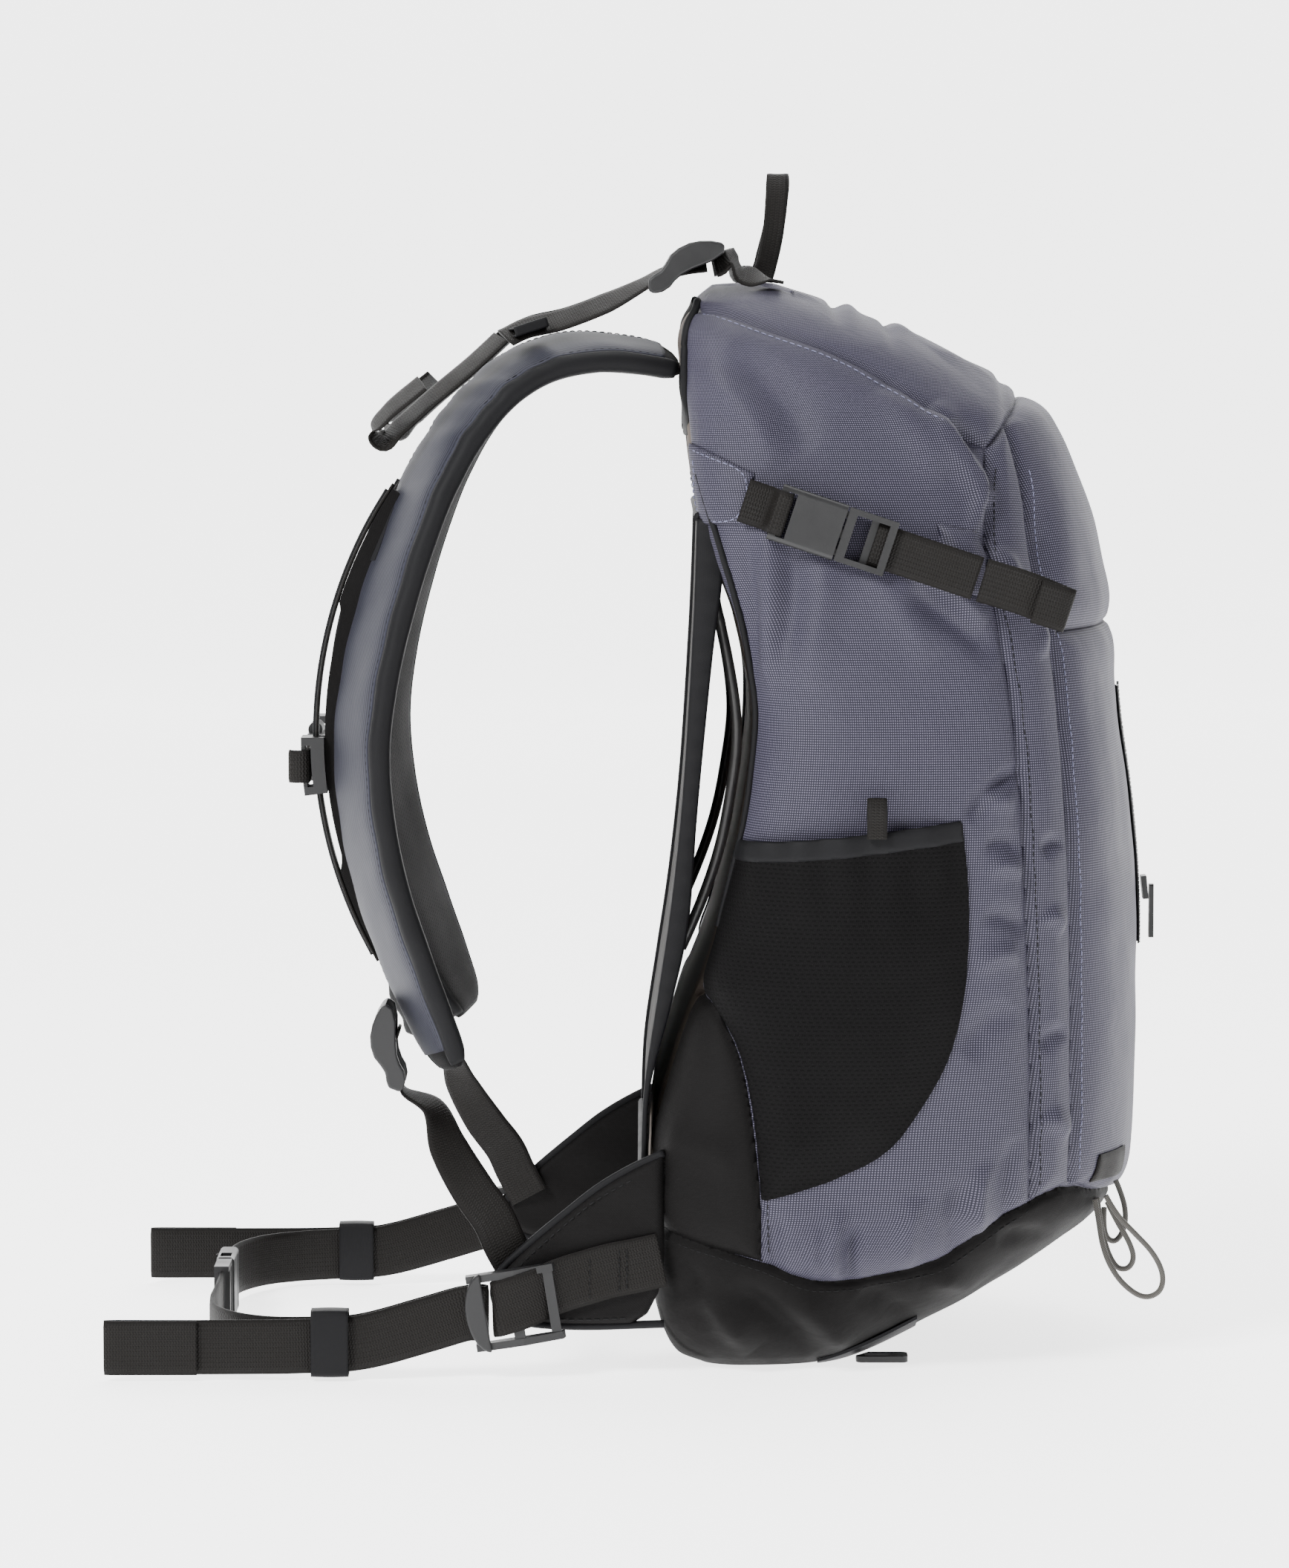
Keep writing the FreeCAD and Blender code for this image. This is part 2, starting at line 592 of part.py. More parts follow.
strap_pad = Part.makeLoft([strap_wire(i) for i in range(len(STRAP))], True, False)
strap_gap = bag_loft(SKIN_CLEAR, 425 * KZ, 490 * KZ, [436, 454, 470, 482])
strap_left = single(single(strap_pad).cut(strap_gap))
export("shoulder_strap_left", strap_left)
export("shoulder_strap_right", mirrored(strap_left))

# thin webbing rail for the sternum strap, a true arc about one axis so that the strap can travel on it
RAIL_X = -13.0 * KX
RAIL_Z = 290.0 * KZ
RAIL_Y = -66.0 * KY
RAIL_WIDE = 9.0
rail_r = RAIL_RADIUS * KX


def arc_block(r_low, r_high, y_low, y_high, angle_low, angle_high):
    """Part of a ring about the rail's axis. Angles in degrees above the horizontal, toward -X."""
    points = []
    steps = 12
    for r, turn in ((r_high, 1), (r_low, -1)):
        angles = [angle_low + (angle_high - angle_low) * i / steps for i in range(steps + 1)]
        if turn < 0:
            angles.reverse()
        ends = [angles[0], angles[steps // 2], angles[-1]]
        points.append([V(RAIL_X - r * math.cos(math.radians(a)), y_low, RAIL_Z + r * math.sin(math.radians(a))) for a in ends])
    arcs = [Part.Arc(*p).toShape() for p in points]
    lines = [Part.makeLine(points[0][2], points[1][0]), Part.makeLine(points[1][2], points[0][0])]
    face = Part.Face(Part.Wire([arcs[0], lines[0], arcs[1], lines[1]]))
    return face.extrude(V(0, y_high - y_low, 0))


rail = arc_block(rail_r, rail_r + WEB_THICK, RAIL_Y - RAIL_WIDE / 2, RAIL_Y + RAIL_WIDE / 2, -30, 34)
for angle in (-29.0, 33.0):
    foot = arc_block(rail_r - 9.0, rail_r + WEB_THICK, RAIL_Y - RAIL_WIDE / 2, RAIL_Y + RAIL_WIDE / 2, angle - 1.2, angle + 1.2)
    rail = rail.fuse(foot)
strap_rail = rail.cut(strap_left)
strap_rail = single(strap_rail)
export("strap_rails", both(strap_rail))

# sternum strap: two sliders, two webbings and a side-release buckle between them
slider_angle = -3.6
slider_half = 3.6
slider = arc_block(rail_r - 2.6, rail_r + 8.0, RAIL_Y - 8.5, RAIL_Y + 8.5, slider_angle - slider_half, slider_angle + slider_half)
slot = arc_block(rail_r - WEB_CLEAR, rail_r + WEB_THICK + WEB_CLEAR, RAIL_Y - RAIL_WIDE / 2 - 1, RAIL_Y + RAIL_WIDE / 2 + 1,
                 slider_angle - 9, slider_angle + 9)
mouth = arc_block(rail_r - 8.0, rail_r - 0.3, RAIL_Y - RAIL_WIDE / 2 + 0.8, RAIL_Y + RAIL_WIDE / 2 - 0.8,
                  slider_angle - 9, slider_angle + 9)
slider = slider.cut(slot).cut(mouth)
eye = arc_block(rail_r + 3.6, rail_r + 6.2, RAIL_Y - 12, RAIL_Y + 12, slider_angle - 2.6, slider_angle + 2.6)
slider = slider.cut(eye)
export("sternum_sliders", both(slider))
web_r = rail_r + 4.9
sternum_mid = V(RAIL_X - web_r * math.cos(math.radians(slider_angle)), 0, RAIL_Z + web_r * math.sin(math.radians(slider_angle)))
sternum_origin = sternum_mid + V(4.5, -14.0, 0)
sternum_socket = placed(buckle_socket(STERNUM_WEB), sternum_origin, V(0, 1, 0), V(0, 0, 1))
if sternum_socket.CenterOfMass.x > sternum_origin.x:
    sternum_up = V(0, 0, -1)
else:
    sternum_up = V(0, 0, 1)
sternum_socket = placed(buckle_socket(STERNUM_WEB), sternum_origin, V(0, 1, 0), sternum_up)
sternum_plug = placed(buckle_plug(STERNUM_WEB), sternum_origin, V(0, 1, 0), sternum_up)
whistle_at = sternum_origin + V(-4.5, 7, STERNUM_WEB / 2 + 4.5)
whistle = Part.makeCylinder(3.4, 20, whistle_at + V(0, -9, 0), V(0, 1, 0))
sternum_socket = sternum_socket.fuse(whistle).removeSplitter()
export("sternum_socket", sternum_socket)
export("sternum_plug", sternum_plug)
sternum_left = [V(sternum_mid.x - 9.0, RAIL_Y - 6.0, sternum_mid.z), V(sternum_mid.x - 5.6, RAIL_Y - 9.6, sternum_mid.z),
                V(sternum_mid.x - 1.0, RAIL_Y - 9.8, sternum_mid.z), V(sternum_mid.x, RAIL_Y - 6.0, sternum_mid.z),
                V(sternum_mid.x, RAIL_Y + 20.0, sternum_mid.z), V(sternum_mid.x, -26.0, sternum_mid.z),
                V(sternum_mid.x - 5.6, -24.0, sternum_mid.z), V(sternum_mid.x - 5.6, -18.0, sternum_mid.z)]
export("sternum_web_left", folded(sternum_left, V(0, 0, 1), STERNUM_WEB - 1.0))
sternum_right = [V(sternum_mid.x, -sternum_left[2].y, sternum_mid.z), V(sternum_mid.x, 40.0, sternum_mid.z),
                 V(sternum_mid.x, WEB_START - 14.0, sternum_mid.z)]
export("sternum_web_right", folded(sternum_right, V(0, 0, 1), STERNUM_WEB - 1.0))
print("sternum pivot", RAIL_X, RAIL_Z, "buckle", sternum_origin)

# sewn label, left blank
label_frame = strap_frame(7)
label_mid = label_frame[0] + label_frame[3] * (STRAP_THICK / 2 + 0.9) - label_frame[2] * 20.0
label = placed(Part.makeBox(26, 14, 0.8, V(-13, -7, -0.4)), label_mid, label_frame[1], label_frame[2])
export("strap_label", label.cut(strap_left))

# elastic keepers that hold the lifter webbing on the straps
keeper_shape = box(-8.5, 8.5, -LIFTER_WEB / 2 - 2.2, LIFTER_WEB / 2 + 2.2, -2.4, 2.4)
keeper_shape = keeper_shape.cut(box(-20, 20, -LIFTER_WEB / 2 - 0.9, LIFTER_WEB / 2 + 0.9, -1.3, 1.3))
keeper_dir = lifter_line[7] - lifter_line[5]
keeper_mid = lifter_line[6] + V(0, 0, 0)
keeper_local = placed(keeper_shape, keeper_mid, keeper_dir, V(0, 1, 0))
lifter_room = ribbon([lifter_line[4], lifter_line[5], lifter_line[6], lifter_line[7]], V(0, 1, 0), LIFTER_WEB + 1.2, WEB_THICK + 0.8)
keeper_local = keeper_local.cut(lifter_room).cut(strap_left)
keeper_local = single(keeper_local)
export("lifter_keepers", both(keeper_local))

# ---- lower strap buckles and webbings ------------------------------------------------------------------------
lower_centre = at(-186, -98, 150)
lower_dir = V(-4.0, 0, -38).normalize()
lower_lock = placed(ladder_lock(LIFTER_WEB), lower_centre, lower_dir, V(0, 1, 0))
if lower_lock.CenterOfMass.x > lower_centre.x:
    lower_lock = placed(ladder_lock(LIFTER_WEB), lower_centre, lower_dir, V(0, -1, 0))
lower_lock = lower_lock.cut(strap_left)
lower_lock = single(lower_lock)
export("lower_locks", both(lower_lock))
lower_out = V(-lower_dir.z, 0, lower_dir.x) * -1


def lower_point(x, z):
    return lower_centre + lower_dir * x + V(-38, 0, 4).normalize() * z


lower_line = [lower_point(-9.0, -2.6), lower_point(0.0, -1.2), lower_point(11.5, -3.0), lower_point(19.5, -7.0),
              at(-167, -101, 122), at(-160, -104, 104), at(-149, -107, 85), at(-139, -110, 71), at(-134, -112, 60)]
lower_across = [V(0, 1, 0), V(0, 1, 0), V(0, 1, 0), V(0, 1, 0), V(0.25, 1, 0), V(0.5, 1, 0), V(0.6, 1, 0), V(0.4, 1, 0),
                V(0.3, 1, 0)]
lower_web = ribbon(lower_line, lower_across, LIFTER_WEB).cut(strap_left)
lower_web = single(lower_web)
export("lower_webs", both(lower_web))

# ---- hip belt ------------------------------------------------------------------------------------------------
WING = [(-73.5, 97), (-91, 87), (-105, 76), (-124, 60), (-136, 48), (-139, 40), (-136, 30), (-125, 25), (-102, 23),
        (-73.5, 24)]
wing_y = -112.0 * KY
WING_THICK = 9.0
hip_wing = prism(WING, wing_y - WING_THICK, wing_y)
hip_wing = hip_wing.cut(lower_web)
hip_wing = single(hip_wing)
export("hip_wings", both(hip_wing))

# the ladder lock's front bar is the pivot of the belt's free front
PIVOT_X = -145.0 * KX
PIVOT_Z = 31.0 * KZ
BAR_RADIUS = 2.0
belt_y = wing_y - WING_THICK - 5.0
lock_half = HIP_WEB / 2 + 5.0


def hip_lock_shape():
    rail_line = [V(-4, 0, -3), V(-4, 0, 3), V(6, 0, 4.2), V(18, 0, 5.2), V(36, 0, 2.5), V(37, 0, -1.5), V(20, 0, -2.0),
                 V(8, 0, -2.8)]
    parts = []
    for sign in (-1, 1):
        low, high = sorted((sign * lock_half, sign * (lock_half - 3.4)))
        corners = [V(p.x, low, p.z) for p in rail_line]
        parts.append(Part.Face(Part.makePolygon(corners + [corners[0]])).extrude(V(0, high - low, 0)))
    parts.append(Part.makeCylinder(BAR_RADIUS, 2 * lock_half - 2, V(0, -lock_half + 1, 0), V(0, 1, 0)))
    parts.append(box(14, 19, -lock_half + 1, lock_half - 1, 1.2, 4.6))
    parts.append(box(31, 35.5, -lock_half + 1, lock_half - 1, -1.0, 2.2))
    return fuse(parts)


belt_pivot = V(PIVOT_X, belt_y, PIVOT_Z)
hip_lock = placed(hip_lock_shape(), belt_pivot, V(1, 0, 0.16), V(0, 0, 1))
if hip_lock.CenterOfMass.y > belt_y:
    hip_lock = placed(hip_lock_shape(), belt_pivot, V(1, 0, 0.16), V(0, 0, -1))
export("hip_locks", both(hip_lock))
print("hip lock bounds", hip_lock.BoundBox)
# webbing sewn on the wing, ending round the lock's rear bar
pad_web_y = wing_y - WING_THICK - 1.2
pad_web_line = [V(-74 * KX, pad_web_y, 52 * KZ), V(-92 * KX, pad_web_y, 48 * KZ), V(-103 * KX, pad_web_y, 44.5 * KZ)]
export("hip_pad_webs", both(ribbon(pad_web_line, V(0, 0, 1), HIP_WEB)))

# the closed belt lies on the ground on the edges of its buckle
LAY = HIP_WEB / 2 + 3.1
hip_main = [V(PIVOT_X - 7.0, belt_y + 1.6, PIVOT_Z - 0.4), V(-168 * KX, belt_y + 1.8, 26), V(-200 * KX, belt_y + 2.0, 17.5),
            V(-226 * KX, belt_y + 3.0, LAY + 0.4), V(-243 * KX, belt_y + 7.0, LAY), V(-257 * KX, belt_y + 17.0, LAY),
            V(-266 * KX, belt_y + 31.0, LAY), V(-270.5 * KX, belt_y + 45.0, LAY), V(-272 * KX, belt_y + 58.0, LAY)]
HIP_SOCKET_Y = 46.0
hip_buckle = V(-272 * KX + plug_web_height(), HIP_SOCKET_Y, LAY)
hip_socket = placed(buckle_socket(HIP_WEB), hip_buckle, V(0, -1, 0), V(0, 0, 1))
hip_up = V(0, 0, 1) if hip_socket.CenterOfMass.x < hip_buckle.x else V(0, 0, -1)
hip_socket = placed(buckle_socket(HIP_WEB), hip_buckle, V(0, -1, 0), hip_up)
hip_plug = placed(buckle_plug(HIP_WEB), hip_buckle, V(0, -1, 0), hip_up)
export("hip_socket", hip_socket)
export("hip_plug", hip_plug)
hip_near_end = [V(-272 * KX, -40, LAY), V(-272 * KX, HIP_SOCKET_Y - WEB_START, LAY)]
hip_tail = [V(PIVOT_X - 7.0, belt_y - 1.6, PIVOT_Z - 0.4), V(-168 * KX, belt_y - 2.2, 26), V(-200 * KX, belt_y - 2.6, 17.5),
            V(-226 * KX, belt_y - 3.0, LAY + 0.4), V(-262 * KX, belt_y - 3.2, LAY), V(-316 * KX, belt_y - 3.4, LAY)]
hip_fold = [V(-316 * KX, belt_y - 5.6, LAY), V(-272 * KX, belt_y - 5.4, LAY)]


loop_ring = Part.makeCylinder(BAR_RADIUS + WEB_CLEAR + WEB_THICK, HIP_WEB - 1.0, V(PIVOT_X, belt_y, PIVOT_Z - HIP_WEB / 2 + 0.5))
loop_ring = loop_ring.cut(Part.makeCylinder(BAR_RADIUS + WEB_CLEAR, HIP_WEB + 4, V(PIVOT_X, belt_y, PIVOT_Z - HIP_WEB / 2 - 2)))
hip_folded = [loop_ring, ribbon([V(PIVOT_X - 2.6, belt_y - 1.6, PIVOT_Z)] + hip_tail, V(0, 0, 1), HIP_WEB),
              ribbon(hip_fold, V(0, 0, 1), HIP_WEB),
              box(-317.5 * KX, -315.5 * KX, belt_y - 6.4, belt_y - 2.6, LAY - HIP_WEB / 2,
                  LAY + HIP_WEB / 2)]
start_main = [V(PIVOT_X - 2.6, belt_y + 1.6, PIVOT_Z)]
hip_web_left = fuse(hip_folded + [ribbon(start_main + hip_main + hip_near_end, V(0, 0, 1), HIP_WEB)])
export("hip_web_left", hip_web_left)
far_y = -(HIP_SOCKET_Y + 11.5)
hip_far_end = [V(-272 * KX, far_y, LAY), V(-272 * KX - 5.8, far_y + 2.6, LAY), V(-272 * KX - 5.8, far_y + 8.5, LAY)]
hip_web_far = fuse(hip_folded + [ribbon(start_main + hip_main + hip_far_end, V(0, 0, 1), HIP_WEB)])
keeper_x = -213.5 * KX
hip_keeper = box(keeper_x - 10, keeper_x + 10, belt_y - 6.0, belt_y + 5.4, LAY - 13.8, LAY + 15.8)
hip_keeper = hip_keeper.cut(box(keeper_x - 20, keeper_x + 20, belt_y - 4.8, belt_y + 4.2, LAY - 12.6,
                                LAY + 14.6))
export("hip_keepers", both(hip_keeper))
export("hip_web_right", mirrored(hip_web_far))
print("hip pivot", belt_pivot, "web end", hip_main[-1])

# ---- elastic pole loops and their anchor under the front -----------------------------------------------------
CORD_POINTS = {
    "pole_loop_1": [(139.8, -65, 73.5), (141.6, -65.4, 64), (143.0, -66, 53.5), (146.5, -66.5, 43), (153, -67, 33.5),
                    (162.5, -67.6, 27), (170.5, -68, 30), (172, -68.4, 38.5), (167, -69, 49), (157.5, -69.4, 58.8),
                    (149, -69.6, 67.5), (144.5, -69.8, 76)],
    "pole_loop_2": [(141.5, -56.5, 73), (142.7, -56.9, 63), (144.8, -57.3, 53), (147.5, -57.8, 45), (151.2, -58.2, 39.5),
                    (156.4, -58.8, 39.6), (159, -59.4, 45.2), (156, -60, 53.5), (150.3, -60.4, 62.5), (145.9, -60.6, 71.6)],
    "pole_loop_3": [(150.8, -48, 79.8), (154.0, -48.2, 72.5), (155.8, -48.6, 63.5), (154.6, -49, 56), (150.8, -49.6, 50.6),
                    (146.4, -50.2, 52.6), (144.9, -50.6, 60), (145.3, -50.8, 67.4)],
}


def cord_tube(points, diameter):
    """Straight runs joined by arcs tangent to both, swept with a round section. Prints the bend radii."""
    count = len(points)
    cuts = []
    radii = []
    for i in range(1, count - 1):
        a = points[i] - points[i - 1]
        b = points[i + 1] - points[i]
        turn = a.getAngle(b)
        radius = 0.45 * min(a.Length, b.Length) / math.tan(turn / 2)
        reach = radius * math.tan(turn / 2)
        an = V(a).normalize()
        bn = V(b).normalize()
        start = points[i] - an * reach
        end = points[i] + bn * reach
        inward = (bn - an).normalize()
        centre = points[i] + inward * (radius / math.cos(turn / 2))
        middle = centre - inward * radius
        cuts.append((start, middle, end))
        radii.append(round(radius, 1))
    edges = []
    last = points[0]
    for start, middle, end in cuts:
        edges.append(Part.makeLine(last, start))
        edges.append(Part.Arc(start, middle, end).toShape())
        last = end
    edges.append(Part.makeLine(last, points[-1]))
    spine = Part.Wire(edges)
    ring = Part.Wire([Part.Circle(points[0], (points[1] - points[0]).normalize(), diameter / 2).toShape()])
    tube = single(spine.makePipeShell([ring], True, False))
    expected = spine.Length * math.pi * diameter ** 2 / 4
    print("cord length", round(spine.Length, 1), "radii", radii, "volume share", round(tube.Volume / expected, 4))
    return tube


for node, line in CORD_POINTS.items():
    export(node, cord_tube([at(*p) for p in line], CORD_DIAMETER))
anchor_out = bag_loft(1.6, 66 * KZ, 112 * KZ, [78, 90])
anchor_in = bag_loft(0.25, 62 * KZ, 116 * KZ, [78, 90])
cord_anchor = anchor_out.common(box(120 * KX, 200 * KX, -74 * KY, -42 * KY, 82.5 * KZ, 96 * KZ)).cut(anchor_in)
export("pole_loop_anchor", single(cord_anchor))

# ---- rain cover puller under the base ------------------------------------------------------------------------
PULLER_Y = -82.0 * KY
strip_out = bag_loft(1.6, 0.0, 40 * KZ, [6, 14, 26])
strip_in = bag_loft(0.25, -0.5, 44 * KZ, [6, 14, 26])
strip = strip_out.common(box(10 * KX, 56 * KX, PULLER_Y - 10, PULLER_Y + 10, 0.6, 30)).cut(strip_in)
export("base_strip", single(strip))
puller = rounded(box(28 * KX, 52 * KX, PULLER_Y - 6.5, PULLER_Y + 6.5, 0.8, 3.6), 3.0, V(0, 0, 1))
puller = puller.cut(box(32 * KX, 45 * KX, PULLER_Y - 3.5, PULLER_Y + 3.5, -1, 6))
strip_room = bag_loft(2.9, -0.5, 40 * KZ, [6, 14, 26])
export("base_puller", single(puller.cut(strip_room)))
print("puller pivot", 29 * KX, 2.2)

# ---- zip down the middle of the front pocket -----------------------------------------------------------------
ZIP_LOW = 186.0 * KZ
ZIP_HIGH = 312.0 * KZ
SLIDER_Z = 213.0 * KZ
ZIP_STANDOFF = 3.3
zip_out = bag_loft(1.4, ZIP_LOW - 20, ZIP_HIGH + 20, [200, 250, 300])
zip_in = bag_loft(0.25, ZIP_LOW - 24, ZIP_HIGH + 24, [200, 250, 300])
export("front_zip", single(zip_out.common(box(100, 240, -3.2, 3.2, ZIP_LOW, ZIP_HIGH)).cut(zip_in)))
slider_x = section_sizes(SLIDER_Z, 0)[1] + ZIP_STANDOFF
zip_dir = V(section_sizes(SLIDER_Z + 80, 0)[1] + ZIP_STANDOFF - slider_x, 0, 80).normalize()
zip_slider = placed(box(-5.5, 5.5, -4.2, 4.2, 0, 2.6), V(slider_x, 0, SLIDER_Z), zip_dir, V(0, 1, 0))
if zip_slider.CenterOfMass.x < slider_x:
    zip_slider = placed(box(-5.5, 5.5, -4.2, 4.2, 0, 2.6), V(slider_x, 0, SLIDER_Z), zip_dir, V(0, -1, 0))
export("front_zip_slider", zip_slider)
pull_top = V(slider_x + 4.6, 0, SLIDER_Z)
zip_pull = box(pull_top.x - 1.1, pull_top.x + 1.1, -2.6, 2.6, pull_top.z - 24, pull_top.z + 1.5)
export("front_zip_pull", rounded(zip_pull, 0.8, V(1, 0, 0)))
print("zip travel", zip_dir, "pull pivot", pull_top)

part_list = sorted(os.listdir("parts"))
print(len(part_list), "parts so far")
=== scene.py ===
"""Looks of the ski backpack: cloth shell, mesh, straps, webbing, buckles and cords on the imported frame."""

import bpy
import bmesh
import math
import numpy as np
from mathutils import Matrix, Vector


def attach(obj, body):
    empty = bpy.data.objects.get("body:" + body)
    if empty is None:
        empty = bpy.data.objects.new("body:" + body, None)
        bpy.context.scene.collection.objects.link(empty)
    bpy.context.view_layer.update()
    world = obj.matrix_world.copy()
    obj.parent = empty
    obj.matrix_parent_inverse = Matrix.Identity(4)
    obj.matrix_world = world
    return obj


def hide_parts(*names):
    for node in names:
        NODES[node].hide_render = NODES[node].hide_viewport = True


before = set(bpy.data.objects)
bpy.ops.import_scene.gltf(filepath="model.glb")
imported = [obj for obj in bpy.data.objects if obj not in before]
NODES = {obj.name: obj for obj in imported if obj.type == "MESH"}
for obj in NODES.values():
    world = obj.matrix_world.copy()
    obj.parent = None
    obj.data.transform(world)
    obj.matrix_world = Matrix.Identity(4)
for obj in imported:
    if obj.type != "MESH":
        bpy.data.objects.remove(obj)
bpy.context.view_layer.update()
MM = 0.001
V = Vector
SIDES = ((1, "left"), (-1, "right"))

# ------------------------------------------------------------------------------------------------
# materials
# ------------------------------------------------------------------------------------------------


def srgb(r, g, b):
    """sRGB 0-255 to linear."""
    out = []
    for c in (r, g, b):
        c = c / 255.0
        out.append(c / 12.92 if c <= 0.04045 else ((c + 0.055) / 1.055) ** 2.4)
    return (out[0], out[1], out[2], 1.0)


class Nodes:
    """A short way to write a node tree."""

    def __init__(self, name, rough=0.6, spec=0.35, sheen=0.0, metal=0.0):
        self.mat = bpy.data.materials.new(name)
        self.mat.use_nodes = True
        self.tree = self.mat.node_tree
        self.tree.nodes.clear()
        self.out = self.tree.nodes.new("ShaderNodeOutputMaterial")
        self.bsdf = self.tree.nodes.new("ShaderNodeBsdfPrincipled")
        self.link(self.bsdf.outputs[0], self.out.inputs[0])
        self.bsdf.inputs["Roughness"].default_value = rough
        self.bsdf.inputs["Specular IOR Level"].default_value = spec
        self.bsdf.inputs["Metallic"].default_value = metal
        if sheen:
            self.bsdf.inputs["Sheen Weight"].default_value = sheen
            self.bsdf.inputs["Sheen Roughness"].default_value = 0.45

    def link(self, a, b):
        self.tree.links.new(a, b)

    def put(self, socket, value):
        if isinstance(value, (int, float, tuple)):
            socket.default_value = value
        else:
            self.link(value, socket)

    def math(self, op, a, b=0.0, c=None, clamp=False):
        n = self.tree.nodes.new("ShaderNodeMath")
        n.operation = op
        n.use_clamp = clamp
        self.put(n.inputs[0], a)
        self.put(n.inputs[1], b)
        if c is not None:
            self.put(n.inputs[2], c)
        return n.outputs[0]

    def attribute(self, name="cloth"):
        n = self.tree.nodes.new("ShaderNodeAttribute")
        n.attribute_name = name
        s = self.tree.nodes.new("ShaderNodeSeparateXYZ")
        self.link(n.outputs["Vector"], s.inputs[0])
        return n.outputs["Vector"], s.outputs[0], s.outputs[1], s.outputs[2]

    def place(self):
        n = self.tree.nodes.new("ShaderNodeTexCoord")
        s = self.tree.nodes.new("ShaderNodeSeparateXYZ")
        self.link(n.outputs["Object"], s.inputs[0])
        return n.outputs["Object"], s.outputs[0], s.outputs[1], s.outputs[2]

    def noise(self, vector, scale, detail=3.0, rough=0.55, distort=0.0):
        n = self.tree.nodes.new("ShaderNodeTexNoise")
        self.put(n.inputs["Vector"], vector)
        n.inputs["Scale"].default_value = scale
        n.inputs["Detail"].default_value = detail
        n.inputs["Roughness"].default_value = rough
        n.inputs["Distortion"].default_value = distort
        return n.outputs["Fac"]

    def mix(self, fac, a, b):
        n = self.tree.nodes.new("ShaderNodeMix")
        n.data_type = "RGBA"
        self.put(n.inputs["Factor"], fac)
        self.put(n.inputs[6], a)
        self.put(n.inputs[7], b)
        return n.outputs[2]

    def remap(self, value, a, b, c, d, smooth=False):
        n = self.tree.nodes.new("ShaderNodeMapRange")
        n.interpolation_type = "SMOOTHSTEP" if smooth else "LINEAR"
        self.put(n.inputs[0], value)
        for i, v in enumerate((a, b, c, d)):
            n.inputs[1 + i].default_value = v
        return n.outputs[0]

    def wave(self, coord, pitch, phase=0.0):
        """Cosine from 0 to 1 with that pitch, in metres."""
        angle = self.math("MULTIPLY_ADD", coord, 2 * math.pi / pitch, phase)
        return self.math("MULTIPLY_ADD", self.math("COSINE", angle), 0.5, 0.5)

    def bump(self, height, distance, strength=1.0, base=None):
        n = self.tree.nodes.new("ShaderNodeBump")
        n.inputs["Strength"].default_value = strength
        n.inputs["Distance"].default_value = distance
        self.put(n.inputs["Height"], height)
        if base is not None:
            self.put(n.inputs["Normal"], base)
        return n.outputs[0]

    def finish(self, color=None, normal=None, rough=None, alpha=None):
        if color is not None:
            self.put(self.bsdf.inputs["Base Color"], color)
        if normal is not None:
            self.put(self.bsdf.inputs["Normal"], normal)
        if rough is not None:
            self.put(self.bsdf.inputs["Roughness"], rough)
        if alpha is not None:
            self.put(self.bsdf.inputs["Alpha"], alpha)
        return self.mat


def dotted_cloth(name, ground, dot, pitch=0.00113, ribbed=0.0, crease=1.0):
    """Two-tone weave: pale threads come up as a grid of small dots on a dark ground."""
    n = Nodes(name, rough=0.62, spec=0.24, sheen=0.02)
    vec, u, v, w = n.attribute()
    a = n.wave(u, pitch)
    b = n.wave(v, pitch)
    if ribbed:
        a = n.math("MULTIPLY_ADD", a, 1 - ribbed, ribbed)
    mask = n.math("MULTIPLY", a, b)
    dots = n.remap(mask, 0.22, 0.62, 0.0, 1.0, True)
    patch = n.noise(vec, 14.0, 4.0)
    fine = n.noise(vec, 900.0, 2.0)
    tone = n.math("MULTIPLY_ADD", patch, 0.22, 0.89)
    shade = n.math("MULTIPLY", tone, n.math("MULTIPLY_ADD", fine, 0.3, 0.85))
    color = n.mix(dots, ground, dot)
    mul = n.tree.nodes.new("ShaderNodeVectorMath")
    mul.operation = "SCALE"
    n.link(color, mul.inputs[0])
    n.link(shade, mul.inputs["Scale"])
    weave = n.bump(mask, 0.00012, 0.5)
    soft = n.bump(n.noise(vec, 60.0, 5.0, 0.6, 0.4), 0.0012 * crease, 0.5, weave)
    rough = n.remap(patch, 0.3, 0.7, 0.56, 0.68)
    return n.finish(mul.outputs[0], soft, rough)


def plain_cloth(name, color, light, pitch=0.0006, rough=0.7, depth=0.0001, crease=1.0):
    """Plain or twill weave in one colour, with slight unevenness."""
    n = Nodes(name, rough=rough, spec=0.1)
    vec, u, v, w = n.attribute()
    diagonal = n.math("ADD", u, v)
    a = n.wave(diagonal, pitch * 2)
    b = n.wave(v, pitch)
    mask = n.math("MULTIPLY", a, b)
    patch = n.noise(vec, 30.0, 4.0)
    tone = n.math("MULTIPLY", n.math("MULTIPLY_ADD", patch, 0.5, 0.3), n.math("MULTIPLY_ADD", mask, 0.6, 0.7))
    weave = n.bump(mask, depth, 0.6)
    soft = n.bump(n.noise(vec, 75.0, 5.0, 0.6, 0.3), 0.001 * crease, 0.5, weave)
    return n.finish(n.mix(tone, color, light), soft, n.remap(patch, 0.3, 0.7, rough - 0.06, rough + 0.08))


